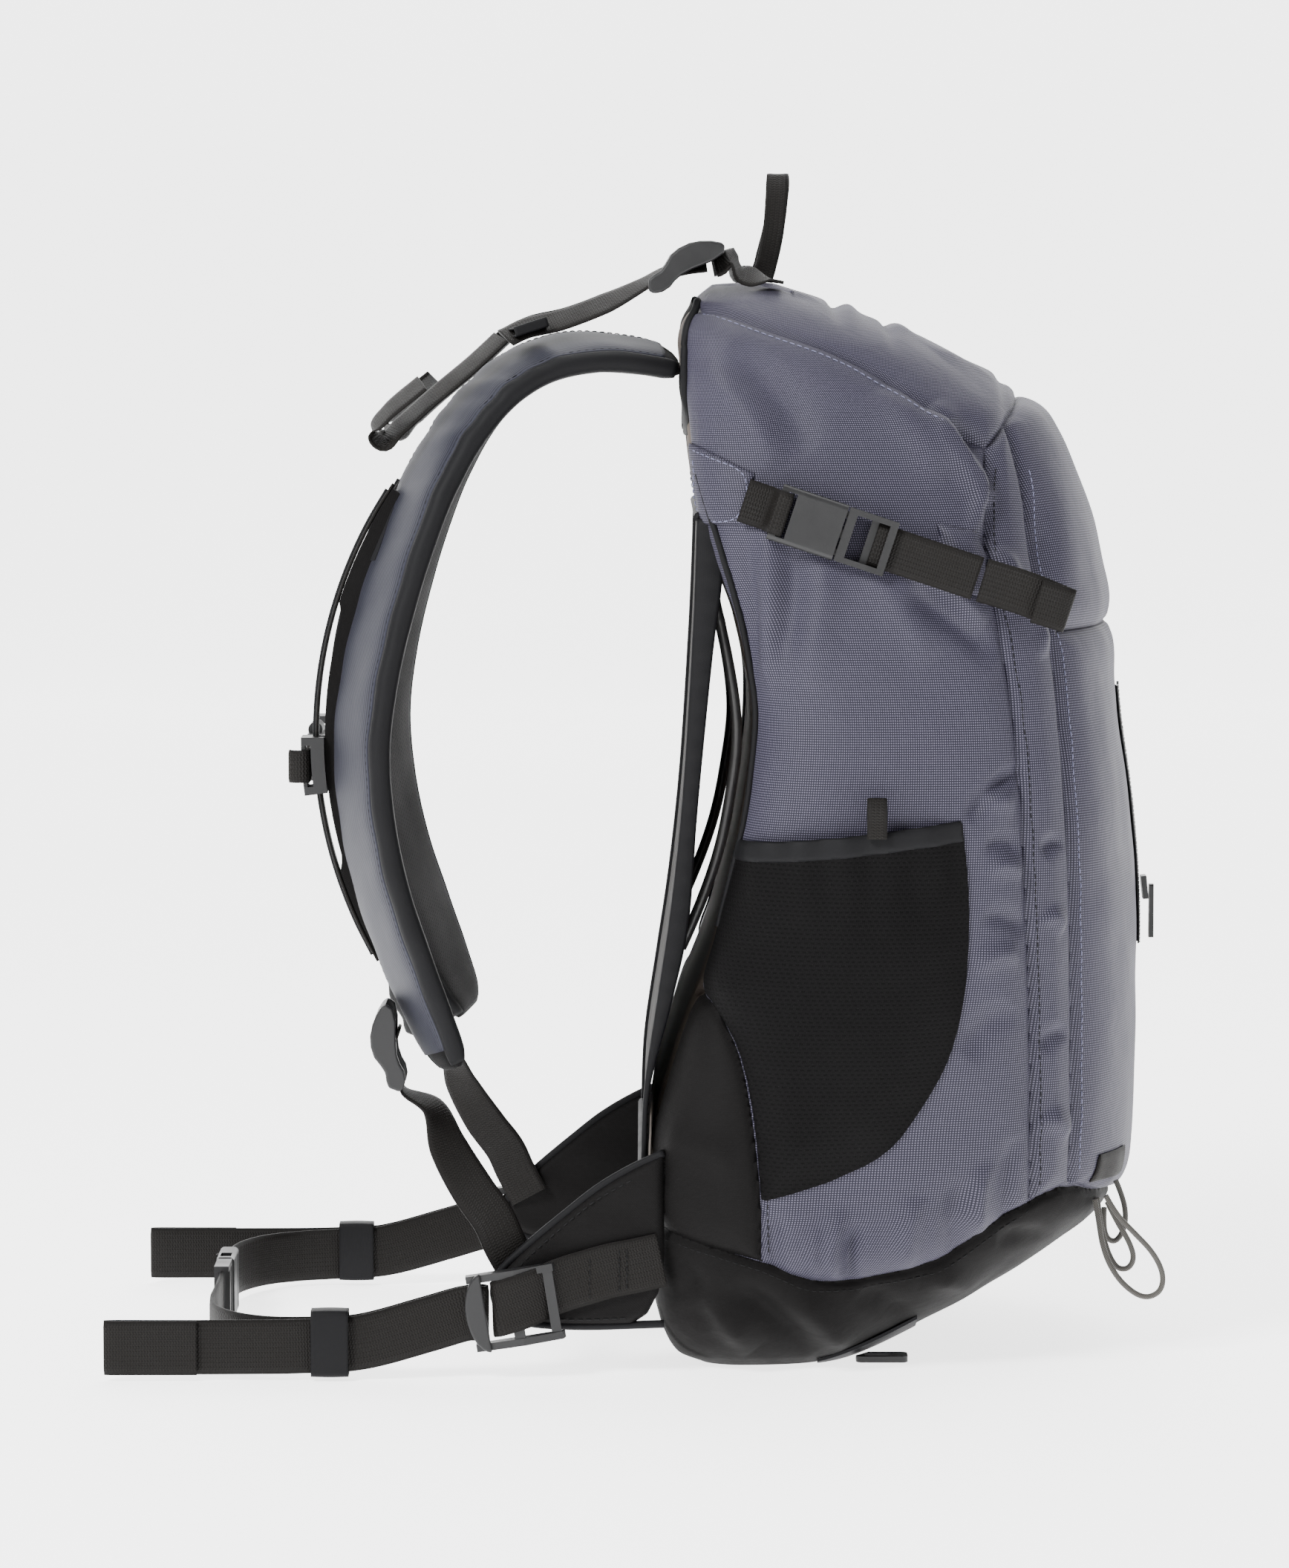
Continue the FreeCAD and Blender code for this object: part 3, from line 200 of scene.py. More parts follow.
def webbing_cloth(name, color, light, width, rib=0.0013):
    """Woven tape: ribs across, a firm selvage at both edges. cloth.x runs along, cloth.y across from the middle."""
    n = Nodes(name, rough=0.58, spec=0.12)
    vec, u, v, w = n.attribute()
    across = n.math("ABSOLUTE", v)
    zig = n.math("MULTIPLY", n.wave(v, 0.0021), 0.00045)
    rib_wave = n.wave(n.math("ADD", u, zig), rib)
    cords = n.wave(v, 0.0011)
    selvage = n.remap(across, width / 2 - 0.0022, width / 2 - 0.0012, 0.0, 1.0, True)
    edge_rib = n.wave(u, rib / 2)
    height = n.math("ADD", n.math("MULTIPLY", n.math("MULTIPLY_ADD", rib_wave, 0.75, 0.0),
                                  n.math("SUBTRACT", 1.0, selvage)),
                    n.math("MULTIPLY", edge_rib, n.math("MULTIPLY", selvage, 0.5)))
    height = n.math("ADD", height, n.math("MULTIPLY", cords, 0.25))
    patch = n.noise(vec, 45.0, 3.0)
    tone = n.math("MULTIPLY_ADD", height, 0.55, n.math("MULTIPLY", patch, 0.35), clamp=True)
    color_out = n.mix(tone, color, light)
    return n.finish(color_out, n.bump(height, 0.00028, 0.8), n.remap(patch, 0.3, 0.7, 0.5, 0.66))


def mesh_cloth(name, color, hole, pitch_u=0.0027, pitch_v=0.0021):
    """Knitted mesh: rows of short dashes where the holes are, offset row by row."""
    n = Nodes(name, rough=0.72, spec=0.08)
    vec, u, v, w = n.attribute()
    row = n.math("FLOOR", n.math("DIVIDE", v, pitch_v))
    shift = n.math("MULTIPLY", n.math("FLOORED_MODULO", row, 2.0), pitch_u / 2)
    a = n.wave(n.math("ADD", u, shift), pitch_u)
    b = n.wave(v, pitch_v, math.pi)
    mask = n.math("MULTIPLY", n.remap(a, 0.3, 0.6, 0.0, 1.0, True), n.remap(b, 0.62, 0.9, 0.0, 1.0, True))
    patch = n.noise(vec, 26.0, 4.0)
    yarn = n.math("MULTIPLY", n.wave(u, pitch_u / 3), n.wave(v, pitch_v / 2))
    tone = n.math("MULTIPLY_ADD", patch, 0.5, n.math("MULTIPLY", yarn, 0.35), clamp=True)
    body = n.mix(tone, (color[0] * 0.55, color[1] * 0.55, color[2] * 0.55, 1.0), color)
    height = n.math("SUBTRACT", n.math("MULTIPLY", yarn, 0.4), mask)
    return n.finish(n.mix(mask, body, hole), n.bump(height, 0.0003, 0.7), n.remap(patch, 0.3, 0.7, 0.66, 0.78))


def moulded(name, color, rough=0.42):
    """Moulded plastic with a fine spark-eroded grain and faintly lighter worn patches."""
    n = Nodes(name, rough=rough, spec=0.35)
    vec, x, y, z = n.place()
    grain = n.noise(vec, 2600.0, 2.0, 0.7)
    patch = n.noise(vec, 55.0, 4.0)
    light = tuple(min(c * 1.9 + 0.004, 1.0) for c in color[:3]) + (1.0,)
    tone = n.math("MULTIPLY", patch, n.math("MULTIPLY_ADD", grain, 0.5, 0.5), clamp=True)
    return n.finish(n.mix(tone, color, light), n.bump(grain, 0.00006, 0.6),
                    n.remap(patch, 0.3, 0.7, rough - 0.05, rough + 0.1))


def elastic_cord(name, color, light):
    n = Nodes(name, rough=0.6, spec=0.3, sheen=0.15)
    vec, x, y, z = n.place()
    braid = n.math("MULTIPLY", n.wave(n.math("ADD", z, x), 0.0011), n.wave(n.math("SUBTRACT", z, x), 0.0011))
    return n.finish(n.mix(braid, color, light), n.bump(braid, 0.00012, 0.7))


def wire_metal(name):
    n = Nodes(name, rough=0.35, spec=0.5, metal=0.0)
    vec, x, y, z = n.place()
    patch = n.noise(vec, 120.0, 3.0)
    return n.finish(n.mix(patch, srgb(20, 20, 21), srgb(44, 43, 42)), n.bump(patch, 0.0001, 0.3))


GROUND = srgb(25, 24, 37)
DOT = srgb(90, 87, 103)
SLATE = dotted_cloth("slate_dotted_cloth", GROUND, DOT)
SLATE_STRAP = dotted_cloth("slate_ribbed_cloth", srgb(11, 12, 22), srgb(34, 35, 47), pitch=0.0019, ribbed=0.9,
                           crease=0.3)
BLACK = plain_cloth("black_twill", srgb(6, 5, 5), srgb(16, 15, 15))
BINDING = plain_cloth("smooth_edge_binding", srgb(11, 11, 12), srgb(25, 25, 27), pitch=0.0004, rough=0.6,
                      depth=0.00004, crease=0.15)
LINING = plain_cloth("beige_lining", srgb(70, 63, 58), srgb(100, 91, 84), rough=0.75, crease=0.6)
SPACER = mesh_cloth("black_spacer_mesh", srgb(20, 19, 20), srgb(4, 4, 4), 0.0022, 0.0022)
POCKET_MESH = mesh_cloth("black_pocket_mesh", srgb(10, 9, 10), srgb(2, 2, 2))
BACK_MESH = mesh_cloth("tension_mesh", srgb(46, 43, 41), srgb(9, 9, 9), 0.0024, 0.0024)
WEB_DARK = srgb(7, 6, 6)
WEB_LIGHT = srgb(27, 25, 23)
WEB = {w: webbing_cloth("webbing_%d_mm" % w, WEB_DARK, WEB_LIGHT, w * MM) for w in (9, 10, 15, 16, 20, 25)}
PLASTIC = moulded("black_moulded_plastic", srgb(17, 17, 18))
LABEL = plain_cloth("blank_label_weave", srgb(14, 14, 15), srgb(30, 30, 32), pitch=0.0005, crease=0.1)
STITCH = plain_cloth("pale_thread", srgb(92, 93, 118), srgb(124, 125, 150), pitch=0.0004, crease=0.1)
STITCH_DARK = plain_cloth("black_thread", srgb(12, 12, 12), srgb(34, 34, 35), pitch=0.0004, crease=0.1)
CORD = elastic_cord("elastic_cord_braid", srgb(52, 50, 47), srgb(84, 81, 76))
WIRE = wire_metal("coated_frame_wire")

# ------------------------------------------------------------------------------------------------
# mesh helpers
# ------------------------------------------------------------------------------------------------


def add_mesh(name, verts, faces, material, cloth=None, body="bag", smooth=True, replaces=(), slot_name=None):
    """verts in millimetres. cloth: one (along, across, 0) in metres for each vertex."""
    me = bpy.data.meshes.new(name)
    me.from_pydata([tuple(c * MM for c in v) for v in verts], [], [tuple(int(i) for i in f) for f in faces])
    me.validate()
    if cloth is not None:
        layer = me.attributes.new("cloth", "FLOAT_VECTOR", "POINT")
        layer.data.foreach_set("vector", np.asarray(cloth, dtype=np.float32).ravel())
    me.polygons.foreach_set("use_smooth", [smooth] * len(me.polygons))
    ob = bpy.data.objects.new(name, me)
    bpy.context.scene.collection.objects.link(ob)
    for m in material if isinstance(material, (list, tuple)) else [material]:
        me.materials.append(m)
    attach(ob, body)
    if replaces:
        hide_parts(*replaces)
    return ob


def once(s, *nodes):
    """A CAD node that holds both sides is replaced by its left piece only."""
    return nodes if s == 1 else ()


def thicken(ob, amount):
    """Gives an open sheet its thickness, in millimetres."""
    ob.modifiers.new("thickness", "SOLIDIFY").thickness = amount * MM


def round_edges(ob, width, segments, angle):
    m = ob.modifiers.new("bevel", "BEVEL")
    m.width = width * MM
    m.segments = segments
    m.limit_method = "ANGLE"
    m.angle_limit = math.radians(angle)


def ring_faces(rows, n, closed=True, caps=True, flip=False):
    """Quads between successive rings of n vertices, with a cap at each end."""
    faces = [(i * n + k, i * n + (k + 1) % n, (i + 1) * n + (k + 1) % n, (i + 1) * n + k)
             for i in range(rows - 1) for k in range(n if closed else n - 1)]
    if caps:
        faces += [tuple(range(n))[::-1], tuple((rows - 1) * n + k for k in range(n))]
    return [(f[0],) + f[:0:-1] for f in faces] if flip else faces


def loft(rows, closed):
    """Vertices and faces of a surface through rows of points."""
    n = len(rows[0])
    return [v for r in rows for v in r], ring_faces(len(rows), n, closed, caps=False), n


def bezier_path(points, step=1.5):
    """Smooth curve through the points (centripetal Catmull-Rom), resampled at an even step. Millimetres."""
    p = np.asarray(points, dtype=float)
    first = 2 * p[0] - p[1]
    last = 2 * p[-1] - p[-2]
    q = np.vstack([first, p, last])
    out = []
    for i in range(1, len(q) - 2):
        p0, p1, p2, p3 = q[i - 1], q[i], q[i + 1], q[i + 2]
        t0 = 0.0
        t1 = t0 + max(np.linalg.norm(p1 - p0), 1e-6) ** 0.5
        t2 = t1 + max(np.linalg.norm(p2 - p1), 1e-6) ** 0.5
        t3 = t2 + max(np.linalg.norm(p3 - p2), 1e-6) ** 0.5
        for t in np.linspace(t1, t2, 14, endpoint=False):
            a1 = (t1 - t) / (t1 - t0) * p0 + (t - t0) / (t1 - t0) * p1
            a2 = (t2 - t) / (t2 - t1) * p1 + (t - t1) / (t2 - t1) * p2
            a3 = (t3 - t) / (t3 - t2) * p2 + (t - t2) / (t3 - t2) * p3
            b1 = (t2 - t) / (t2 - t0) * a1 + (t - t0) / (t2 - t0) * a2
            b2 = (t3 - t) / (t3 - t1) * a2 + (t - t1) / (t3 - t1) * a3
            out.append((t2 - t) / (t2 - t1) * b1 + (t - t1) / (t2 - t1) * b2)
    out.append(p[-1])
    out = np.array(out)
    seg = np.linalg.norm(np.diff(out, axis=0), axis=1)
    s = np.concatenate([[0], np.cumsum(seg)])
    count = max(int(s[-1] / step), 3)
    even = np.linspace(0, s[-1], count + 1)
    return np.stack([np.interp(even, s, out[:, k]) for k in range(3)], axis=1), even


def unit(v):
    v = np.asarray(v, dtype=float)
    return v / np.maximum(np.linalg.norm(v, axis=-1, keepdims=True), 1e-9)


WEB_COLUMNS = 8
SELVAGE_SHARE = 0.6


def web(name, points, across, width, material, body="bag", thick=1.5, replaces=(), slot_name="webbing", step=1.5,
        crown=0.0):
    """Woven tape along a smooth path. across: one vector, or one for each given point."""
    path, s = bezier_path(points, step)
    given = np.asarray(across, dtype=float)
    if given.ndim == 1:
        side = np.repeat(given[None], len(path), axis=0)
    else:
        p = np.asarray(points, dtype=float)
        seg = np.concatenate([[0], np.cumsum(np.linalg.norm(np.diff(p, axis=0), axis=1))])
        seg = seg / seg[-1] * s[-1]
        side = np.stack([np.interp(s, seg, given[:, k]) for k in range(3)], axis=1)
    run = unit(np.gradient(path, axis=0))
    out = unit(np.cross(run, side))
    wide = unit(np.cross(out, run))
    half = width / 2
    places = [-half + width * k / WEB_COLUMNS for k in range(WEB_COLUMNS + 1)]

    def height(a, sign):
        edge = SELVAGE_SHARE if abs(abs(a) - half) < 1e-6 else 1.0
        return sign * thick / 2 * edge + crown * (1 - (a / half) ** 2)

    ring = [(a, height(a, 1)) for a in places] + [(a, height(a, -1)) for a in reversed(places)]
    verts, cloth = [], []
    for i, p in enumerate(path):
        for a, h in ring:
            verts.append(p + wide[i] * a + out[i] * h)
            cloth.append((s[i] * MM, a * MM, 0.0 if h > 0 else 0.001))
    faces = ring_faces(len(path), len(ring))
    return add_mesh(name, verts, faces, material, cloth, body, True, replaces, slot_name)


def tube(name, points, radius, material, body="bag", replaces=(), slot_name=None, sides=10, step=2.0):
    """A round cord or piping along a smooth path."""
    path, s = bezier_path(points, step)
    run = unit(np.gradient(path, axis=0))
    ref = np.array([0.13, 0.31, 0.94]) if abs(run[:, 2]).mean() < 0.7 else np.array([0.1, 0.99, 0.05])
    a = unit(np.cross(run, ref))
    b = unit(np.cross(run, a))
    verts, cloth = [], []
    for i, p in enumerate(path):
        for k in range(sides):
            t = 2 * math.pi * k / sides
            verts.append(p + (a[i] * math.cos(t) + b[i] * math.sin(t)) * radius)
            cloth.append((s[i] * MM, radius * t * MM, 0))
    faces = ring_faces(len(path), sides, flip=True)
    return add_mesh(name, verts, faces, material, cloth, body, True, replaces, slot_name)


STITCH_ROWS = 5
STITCH_SIDES = 6


def stitches(name, points, normals, material, length=2.3, gap=1.0, radius=0.28, body="bag", slot_name="cloth",
             lift=0.15):
    """A row of short raised thread stitches along a path, joined into one piece."""
    path, s = bezier_path(points, 0.5)
    nrm = np.asarray(normals, dtype=float)
    if nrm.ndim == 1:
        nrm = np.repeat(nrm[None], len(path), axis=0)
    else:
        idx = np.linspace(0, len(path) - 1, len(nrm))
        nrm = np.stack([np.interp(np.arange(len(path)), idx, nrm[:, k]) for k in range(3)], axis=1)
    nrm = unit(nrm)
    verts, faces, cloth = [], [], []
    at_s = 0.0
    while at_s + length < s[-1]:
        base = len(verts)
        for r in range(STITCH_ROWS):
            q = at_s + length * r / (STITCH_ROWS - 1)
            p = np.array([np.interp(q, s, path[:, k]) for k in range(3)])
            nn = unit(np.array([np.interp(q, s, nrm[:, k]) for k in range(3)]))
            j = min(int(q / s[-1] * (len(path) - 2)), len(path) - 2)
            run = unit(path[j + 1] - path[j])
            side = unit(np.cross(nn, run))
            swell = math.sin(math.pi * (0.12 + 0.76 * r / (STITCH_ROWS - 1)))
            centre = p + nn * (lift + radius * 0.9 * swell - radius * 0.4)
            for k in range(STITCH_SIDES):
                t = 2 * math.pi * k / STITCH_SIDES
                verts.append(centre + (side * math.cos(t) + nn * math.sin(t)) * radius * (0.55 + 0.45 * swell))
                cloth.append((q * MM, radius * t * MM, 0))
        faces += [tuple(base + i for i in f) for f in ring_faces(STITCH_ROWS, STITCH_SIDES)]
        at_s += length + gap
    return add_mesh(name, verts, faces, material, cloth, body, True, (), slot_name)


def dress(node, material, bevel=0.0, segments=2):
    """A CAD node kept as it is, with its own material and softened edges."""
    ob = NODES[node]
    ob.data.materials.clear()
    ob.data.materials.append(material)
    if bevel:
        round_edges(ob, bevel, segments, 35)


# ------------------------------------------------------------------------------------------------
# the bag's skin, the same sections as the CAD, in millimetres
# ------------------------------------------------------------------------------------------------
SECTIONS = np.array([
    (0, -46, 36, 90), (6, -55, 51, 103), (14, -60, 67, 112), (26, -64, 90, 120), (42, -66, 116, 126),
    (60, -67, 141, 130), (78, -67, 157, 132), (105, -66, 162, 134), (150, -55, 163.5, 136), (200, -37, 163, 137),
    (250, -26, 160, 137), (300, -20, 153.5, 135), (345, -28, 149.5, 131), (385, -42, 143, 125),
    (415, -48, 132, 119), (436, -50, 121, 115), (454, -52, 97, 110), (470, -53, 68, 104), (482, -51, 37, 93),
    (491, -47, 13, 75), (497, -38, -8, 44)], dtype=float)
BAG_TOP = 497.0
BAG_GIRTH = 790.0
OUTLINE = np.array([
    (0.0, 0.0), (0.0, 0.42), (0.004, 0.70), (0.035, 0.89), (0.14, 0.98), (0.32, 1.0), (0.52, 0.975),
    (0.68, 0.905), (0.80, 0.775), (0.905, 0.56), (0.975, 0.30), (1.0, 0.0)])


def monotone(z, col):
    """One column of SECTIONS at the heights z, without overshoot between the sections."""
    zs, vs = SECTIONS[:, 0], SECTIONS[:, col]
    sec = np.diff(vs) / np.diff(zs)
    slope = np.zeros(len(zs))
    slope[0], slope[-1] = sec[0], sec[-1]
    both = sec[:-1] * sec[1:] > 0
    slope[1:-1][both] = (2 * sec[:-1] * sec[1:] / np.where(both, sec[:-1] + sec[1:], 1))[both]
    z = np.clip(z, zs[0], zs[-1])
    i = np.clip(np.searchsorted(zs, z, side="right") - 1, 0, len(zs) - 2)
    h = zs[i + 1] - zs[i]
    t = (z - zs[i]) / h
    return (vs[i] * (1 + 2 * t) * (1 - t) ** 2 + slope[i] * h * t * (1 - t) ** 2 + vs[i + 1] * t * t * (3 - 2 * t)
            + slope[i + 1] * h * t * t * (t - 1))


def closed_outline(count):
    """Periodic cubic spline through the outline, evenly spaced for a bag of middle size."""
    side = OUTLINE
    pts = np.vstack([side, [(a, -b) for a, b in side[1:-1][::-1]]])
    scaled = pts * np.array([195.0, 135.0])
    seg = np.linalg.norm(np.roll(scaled, -1, axis=0) - scaled, axis=1)
    t = np.concatenate([[0], np.cumsum(seg)])
    n = len(pts)
    h = np.diff(t)
    mat = np.zeros((n, n))
    rhs = np.zeros((n, 2))
    for i in range(n):
        hp, hn = h[i - 1], h[i]
        mat[i, (i - 1) % n] += hp
        mat[i, i] += 2 * (hp + hn)
        mat[i, (i + 1) % n] += hn
        rhs[i] = 6 * ((pts[(i + 1) % n] - pts[i]) / hn - (pts[i] - pts[i - 1]) / hp)
    m2 = np.linalg.solve(mat, rhs)
    u = np.linspace(0, t[-1], count, endpoint=False)
    i = np.clip(np.searchsorted(t, u, side="right") - 1, 0, n - 1)
    hi = h[i][:, None]
    a = (t[i + 1] - u)[:, None]
    b = (u - t[i])[:, None]
    j = (i + 1) % n
    val = ((m2[i] * a ** 3 + m2[j] * b ** 3) / (6 * hi) + (pts[i] / hi - m2[i] * hi / 6) * a
           + (pts[j] / hi - m2[j] * hi / 6) * b)
    return val, u


def seg_distance(px, pz, line):
    """Distance from points to an open polyline in the side view."""
    best = np.full(px.shape, 1e9)
    for (x0, z0), (x1, z1) in zip(line, line[1:]):
        dx, dz = x1 - x0, z1 - z0
        if dx == 0 and dz == 0:
            continue
        t = np.clip(((px - x0) * dx + (pz - z0) * dz) / (dx * dx + dz * dz), 0, 1)
        best = np.minimum(best, np.hypot(px - x0 - t * dx, pz - z0 - t * dz))
    return best


def polygon_field(px, pz, poly):
    """Signed distance to a closed polygon in the side view, positive inside."""
    d = seg_distance(px, pz, list(poly) + [poly[0]])
    inside = np.zeros(px.shape, dtype=bool)
    n = len(poly)
    for i in range(n):
        x0, z0 = poly[i]
        x1, z1 = poly[(i + 1) % n]
        if z0 == z1:
            continue
        cross = (z0 > pz) != (z1 > pz)
        inside ^= cross & (px < (x1 - x0) * (pz - z0) / (z1 - z0) + x0)
    return np.where(inside, d, -d)


def soften(line, rounds=2):
    """Corner cutting, so that a seam drawn with few points runs as a curve."""
    pts = [tuple(map(float, p)) for p in line]
    for _ in range(rounds):
        new = [pts[0]]
        for (x0, z0), (x1, z1) in zip(pts, pts[1:]):
            new += [(0.75 * x0 + 0.25 * x1, 0.75 * z0 + 0.25 * z1), (0.25 * x0 + 0.75 * x1, 0.25 * z0 + 0.75 * z1)]
        new.append(pts[-1])
        pts = new
    return pts


LID_SEAM = soften([(-75, 480), (-43, 491), (-12, 480), (15, 470), (36, 460), (56, 446), (80, 429),
                   (88, 425)]) + soften(
    [(88, 425), (98, 437), (106, 449), (150, 482)])
GUSSET_SEAM = soften([(88, 425), (85, 400), (86, 370), (94, 332), (101, 283), (105, 222), (108, 160), (108, 79)])
POCKET_SEAM = soften([(97, 436), (104, 413), (110, 370), (119, 332), (124, 268), (128, 196), (129, 124), (128, 85)])
BASE_SEAM = soften([
    (-90, 74), (-68, 68), (-17, 54), (2, 45), (21, 43), (44, 46), (61, 50), (74, 56), (86, 65), (108, 79),
    (128, 84), (151, 71), (190, 60)], 1)
CORNER_SEAM = soften([(-17, 54), (-17, 82), (-21, 119), (-26, 145), (-32, 160), (-44, 177), (-90, 190)], 1)
FLAP_TOP = 341.0
ZONES = {
    "lid": LID_SEAM + [(150, 560), (-75, 560)],
    "base": BASE_SEAM + [(190, -20), (-90, -20)],
    "front": POCKET_SEAM + [(151, 71), (230, 60), (230, 500), (120, 470)],
    "gusset": GUSSET_SEAM + [(240, 79), (240, 440), (106, 447)],
    "corner": CORNER_SEAM + [(-90, 74), (-68, 68)],
}
BACK_HALF = 90.0
MAX_STAND_OFF = 6.0

# folds of the near side, as a ridge (+) or valley (-) from one point to another: x, z, x, z, width, height
FOLDS = [
    (60, 443, 84, 398, 6.0, 3.2), (70, 437, 88, 405, 5.0, -2.6), (84, 424, 78, 384, 4.5, 2.4),
    (40, 452, 66, 410, 9.0, 1.6), (-42, 462, -10, 418, 8.0, 1.8), (-30, 470, 6, 425, 9.0, -1.6),
    (-14, 392, -18, 312, 6.0, 2.2), (-24, 384, -22, 300, 5.0, -2.2), (-3, 384, -10, 330, 6.0, -1.8),
    (12, 378, 2, 318, 7.0, 1.5), (48, 372, 84, 346, 5.0, 2.4), (50, 360, 88, 330, 6.0, -2.0),
    (30, 372, 60, 330, 8.0, 1.3), (76, 258, 101, 280, 3.5, -2.2), (80, 268, 98, 262, 5.0, 1.4),
    (84, 246, 100, 244, 4.0, -1.4), (86, 236, 103, 232, 4.0, 1.5), (84, 214, 104, 206, 4.5, -1.4),
    (80, 190, 100, 196, 5.0, 1.3), (76, 150, 96, 172, 6.0, -1.3), (16, 45, 19, 78, 4.0, 2.0),
    (24, 44, 27, 72, 3.5, -2.0), (50, 48, 54, 84, 5.0, 1.6), (72, 56, 74, 92, 5.0, -1.8),
    (84, 64, 85, 98, 4.0, 1.8), (-8, 50, -10, 76, 4.0, -1.8), (8, 47, 9, 70, 3.0, 1.4),
    (96, 70, 98, 110, 4.0, -1.6), (110, 398, 114, 340, 5.0, -1.6), (106, 360, 112, 330, 4.0, 1.8),
    (112, 240, 120, 246, 3.5, -1.4), (112, 212, 122, 205, 4.0, 1.4), (112, 150, 124, 158, 4.0, -1.3),
    (112, 118, 126, 108, 5.0, 1.5), (90, 380, 100, 352, 4.0, 2.0), (-50, 40, -20, 12, 7.0, 2.4),
    (-30, 44, 6, 8, 6.0, -2.6), (-4, 40, 24, 10, 7.0, 2.2), (30, 40, 52, 20, 6.0, -2.0),
    (60, 46, 84, 34, 6.0, 1.8), (92, 62, 118, 58, 5.0, -1.8), (-58, 58, -40, 22, 6.0, -1.8),
    (-62, 110, -30, 100, 8.0, 1.4)]
# folds of the lid and the upper front, drawn in top view: x, y, x, y, width, height
TOP_FOLDS = [
    (18, -78, 24, 78, 3.0, -2.6), (25, -80, 30, 80, 4.0, 2.2), (43, -84, 46, 84, 2.6, -2.4),
    (49, -70, 54, 76, 5.0, 1.8), (-20, -60, 10, -50, 6.0, 1.5), (-18, 56, 8, 48, 6.0, 1.5),
    (64, -60, 90, -40, 8.0, 1.6), (66, 50, 92, 44, 8.0, 1.5), (60, -20, 98, -10, 9.0, -1.3),
    (96, -80, 104, 80, 3.0, -2.2)]


def ridge(px, pz, x0, z0, x1, z1, width, height):
    dx, dz = x1 - x0, z1 - z0
    length2 = dx * dx + dz * dz
    t = ((px - x0) * dx + (pz - z0) * dz) / length2
    ends = np.clip(1.15 - np.abs(2 * t - 1) ** 2.2, 0, 1)
    bow = 2.2 * np.sin(np.pi * np.clip(t, 0, 1))
    across = ((px - x0) * dz - (pz - z0) * dx) / math.sqrt(length2) + bow
    return height * ends * np.exp(-(across / width) ** 2) * (t > -0.05) * (t < 1.05)


def lumps(x, y, z, scale, seed):
    """Smooth repeatable undulation from a few slanted waves."""
    r = np.random.default_rng(seed)
    total = np.zeros_like(x)
    for _ in range(9):
        d = r.normal(size=3)
        d /= np.linalg.norm(d)
        k = 2 * np.pi / (scale * r.uniform(0.6, 1.6))
        total += np.sin((x * d[0] + y * d[1] + z * d[2]) * k + r.uniform(0, 6.28)) * r.uniform(0.4, 1.0)
    return total / 4.0


def displacement(x, y, z, ny):
    """How far the stuffed cloth stands off the plain skin, in millimetres."""
    side = np.clip((np.abs(ny) - 0.25) / 0.4, 0, 1)
    far = y > 0
    d = np.zeros_like(x)
    for i, f in enumerate(FOLDS):
        shift = 3.0 * math.sin(i * 2.3)
        d += np.where(far, ridge(x + shift, z - shift, *f) * 1.8, ridge(x, z, *f) * 2.1) * side
    top = np.clip((z - 415) / 25, 0, 1) * (1 - side * 0.6)
    for f in TOP_FOLDS:
        d += ridge(x, y, *f) * top
    d += lumps(x, y, z * 0.6, 70.0, 3) * 1.0 + lumps(x, y, z, 26.0, 5) * 0.35
    back = (x < -15) & (np.abs(y) < 100) & (z < 440)
    return np.where(back, d * 0.2, d)


def back_limit(z):
    """Half width of the plain sheet behind the suspended mesh."""
    return np.minimum(BACK_HALF, 0.68 * monotone(z, 3))


def seam_depth(x, y, z, back_side):
    """Grooves where panels meet, and the slight swell of the cloth beside them."""
    d = np.full(x.shape, 1e9)
    for line in (LID_SEAM, GUSSET_SEAM, POCKET_SEAM, BASE_SEAM):
        d = np.minimum(d, seg_distance(x, z, line))
    corner = seg_distance(x, z, CORNER_SEAM)
    d = np.minimum(d, np.where(np.abs(y) > BACK_HALF - 6, corner, 1e9))
    front = (x > 120) & (np.abs(y) < 106)
    d = np.minimum(d, np.where(front, np.abs(z - FLAP_TOP), 1e9))
    d = np.minimum(d, np.where(back_side, np.abs(np.abs(y) - back_limit(z)), 1e9))
    return -2.3 * np.exp(-(d / 1.6) ** 2) - 1.7 * np.exp(-(d / 6.0) ** 2) + 1.0 * np.exp(-((d - 14.0) / 10.0) ** 2)


GRID = 1.5
COUNT = int(BAG_GIRTH / GRID)
outline, arc = closed_outline(COUNT)
fine_z = np.linspace(0, BAG_TOP, 4000)
slopes = np.sqrt(1 + np.maximum.reduce([np.abs(np.gradient(monotone(fine_z, c), fine_z)) for c in (1, 2, 3)]) ** 2)
run_z = np.concatenate([[0], np.cumsum((slopes[1:] + slopes[:-1]) / 2 * np.diff(fine_z))])
levels = np.interp(np.linspace(0, run_z[-1], int(run_z[-1] / GRID)), run_z, fine_z)
back_z, front_z, half_z = (monotone(levels, c) for c in (1, 2, 3))
gx = back_z[:, None] + (front_z - back_z)[:, None] * outline[None, :, 0]
gy = half_z[:, None] * outline[None, :, 1]
gz = np.repeat(levels[:, None], COUNT, axis=1)


def cap_rings(row_x, row_y, z0, rise, rings):
    """Shrinking copies of an end row, which close the bag's top or bottom."""
    cx = (row_x.max() + row_x.min()) / 2
    out = []
    for k in range(1, rings + 1):
        s = 1 - k / rings
        out.append((cx + (row_x - cx) * s, row_y * s, np.full_like(row_x, z0 + rise * (1 - s * s))))
    return out


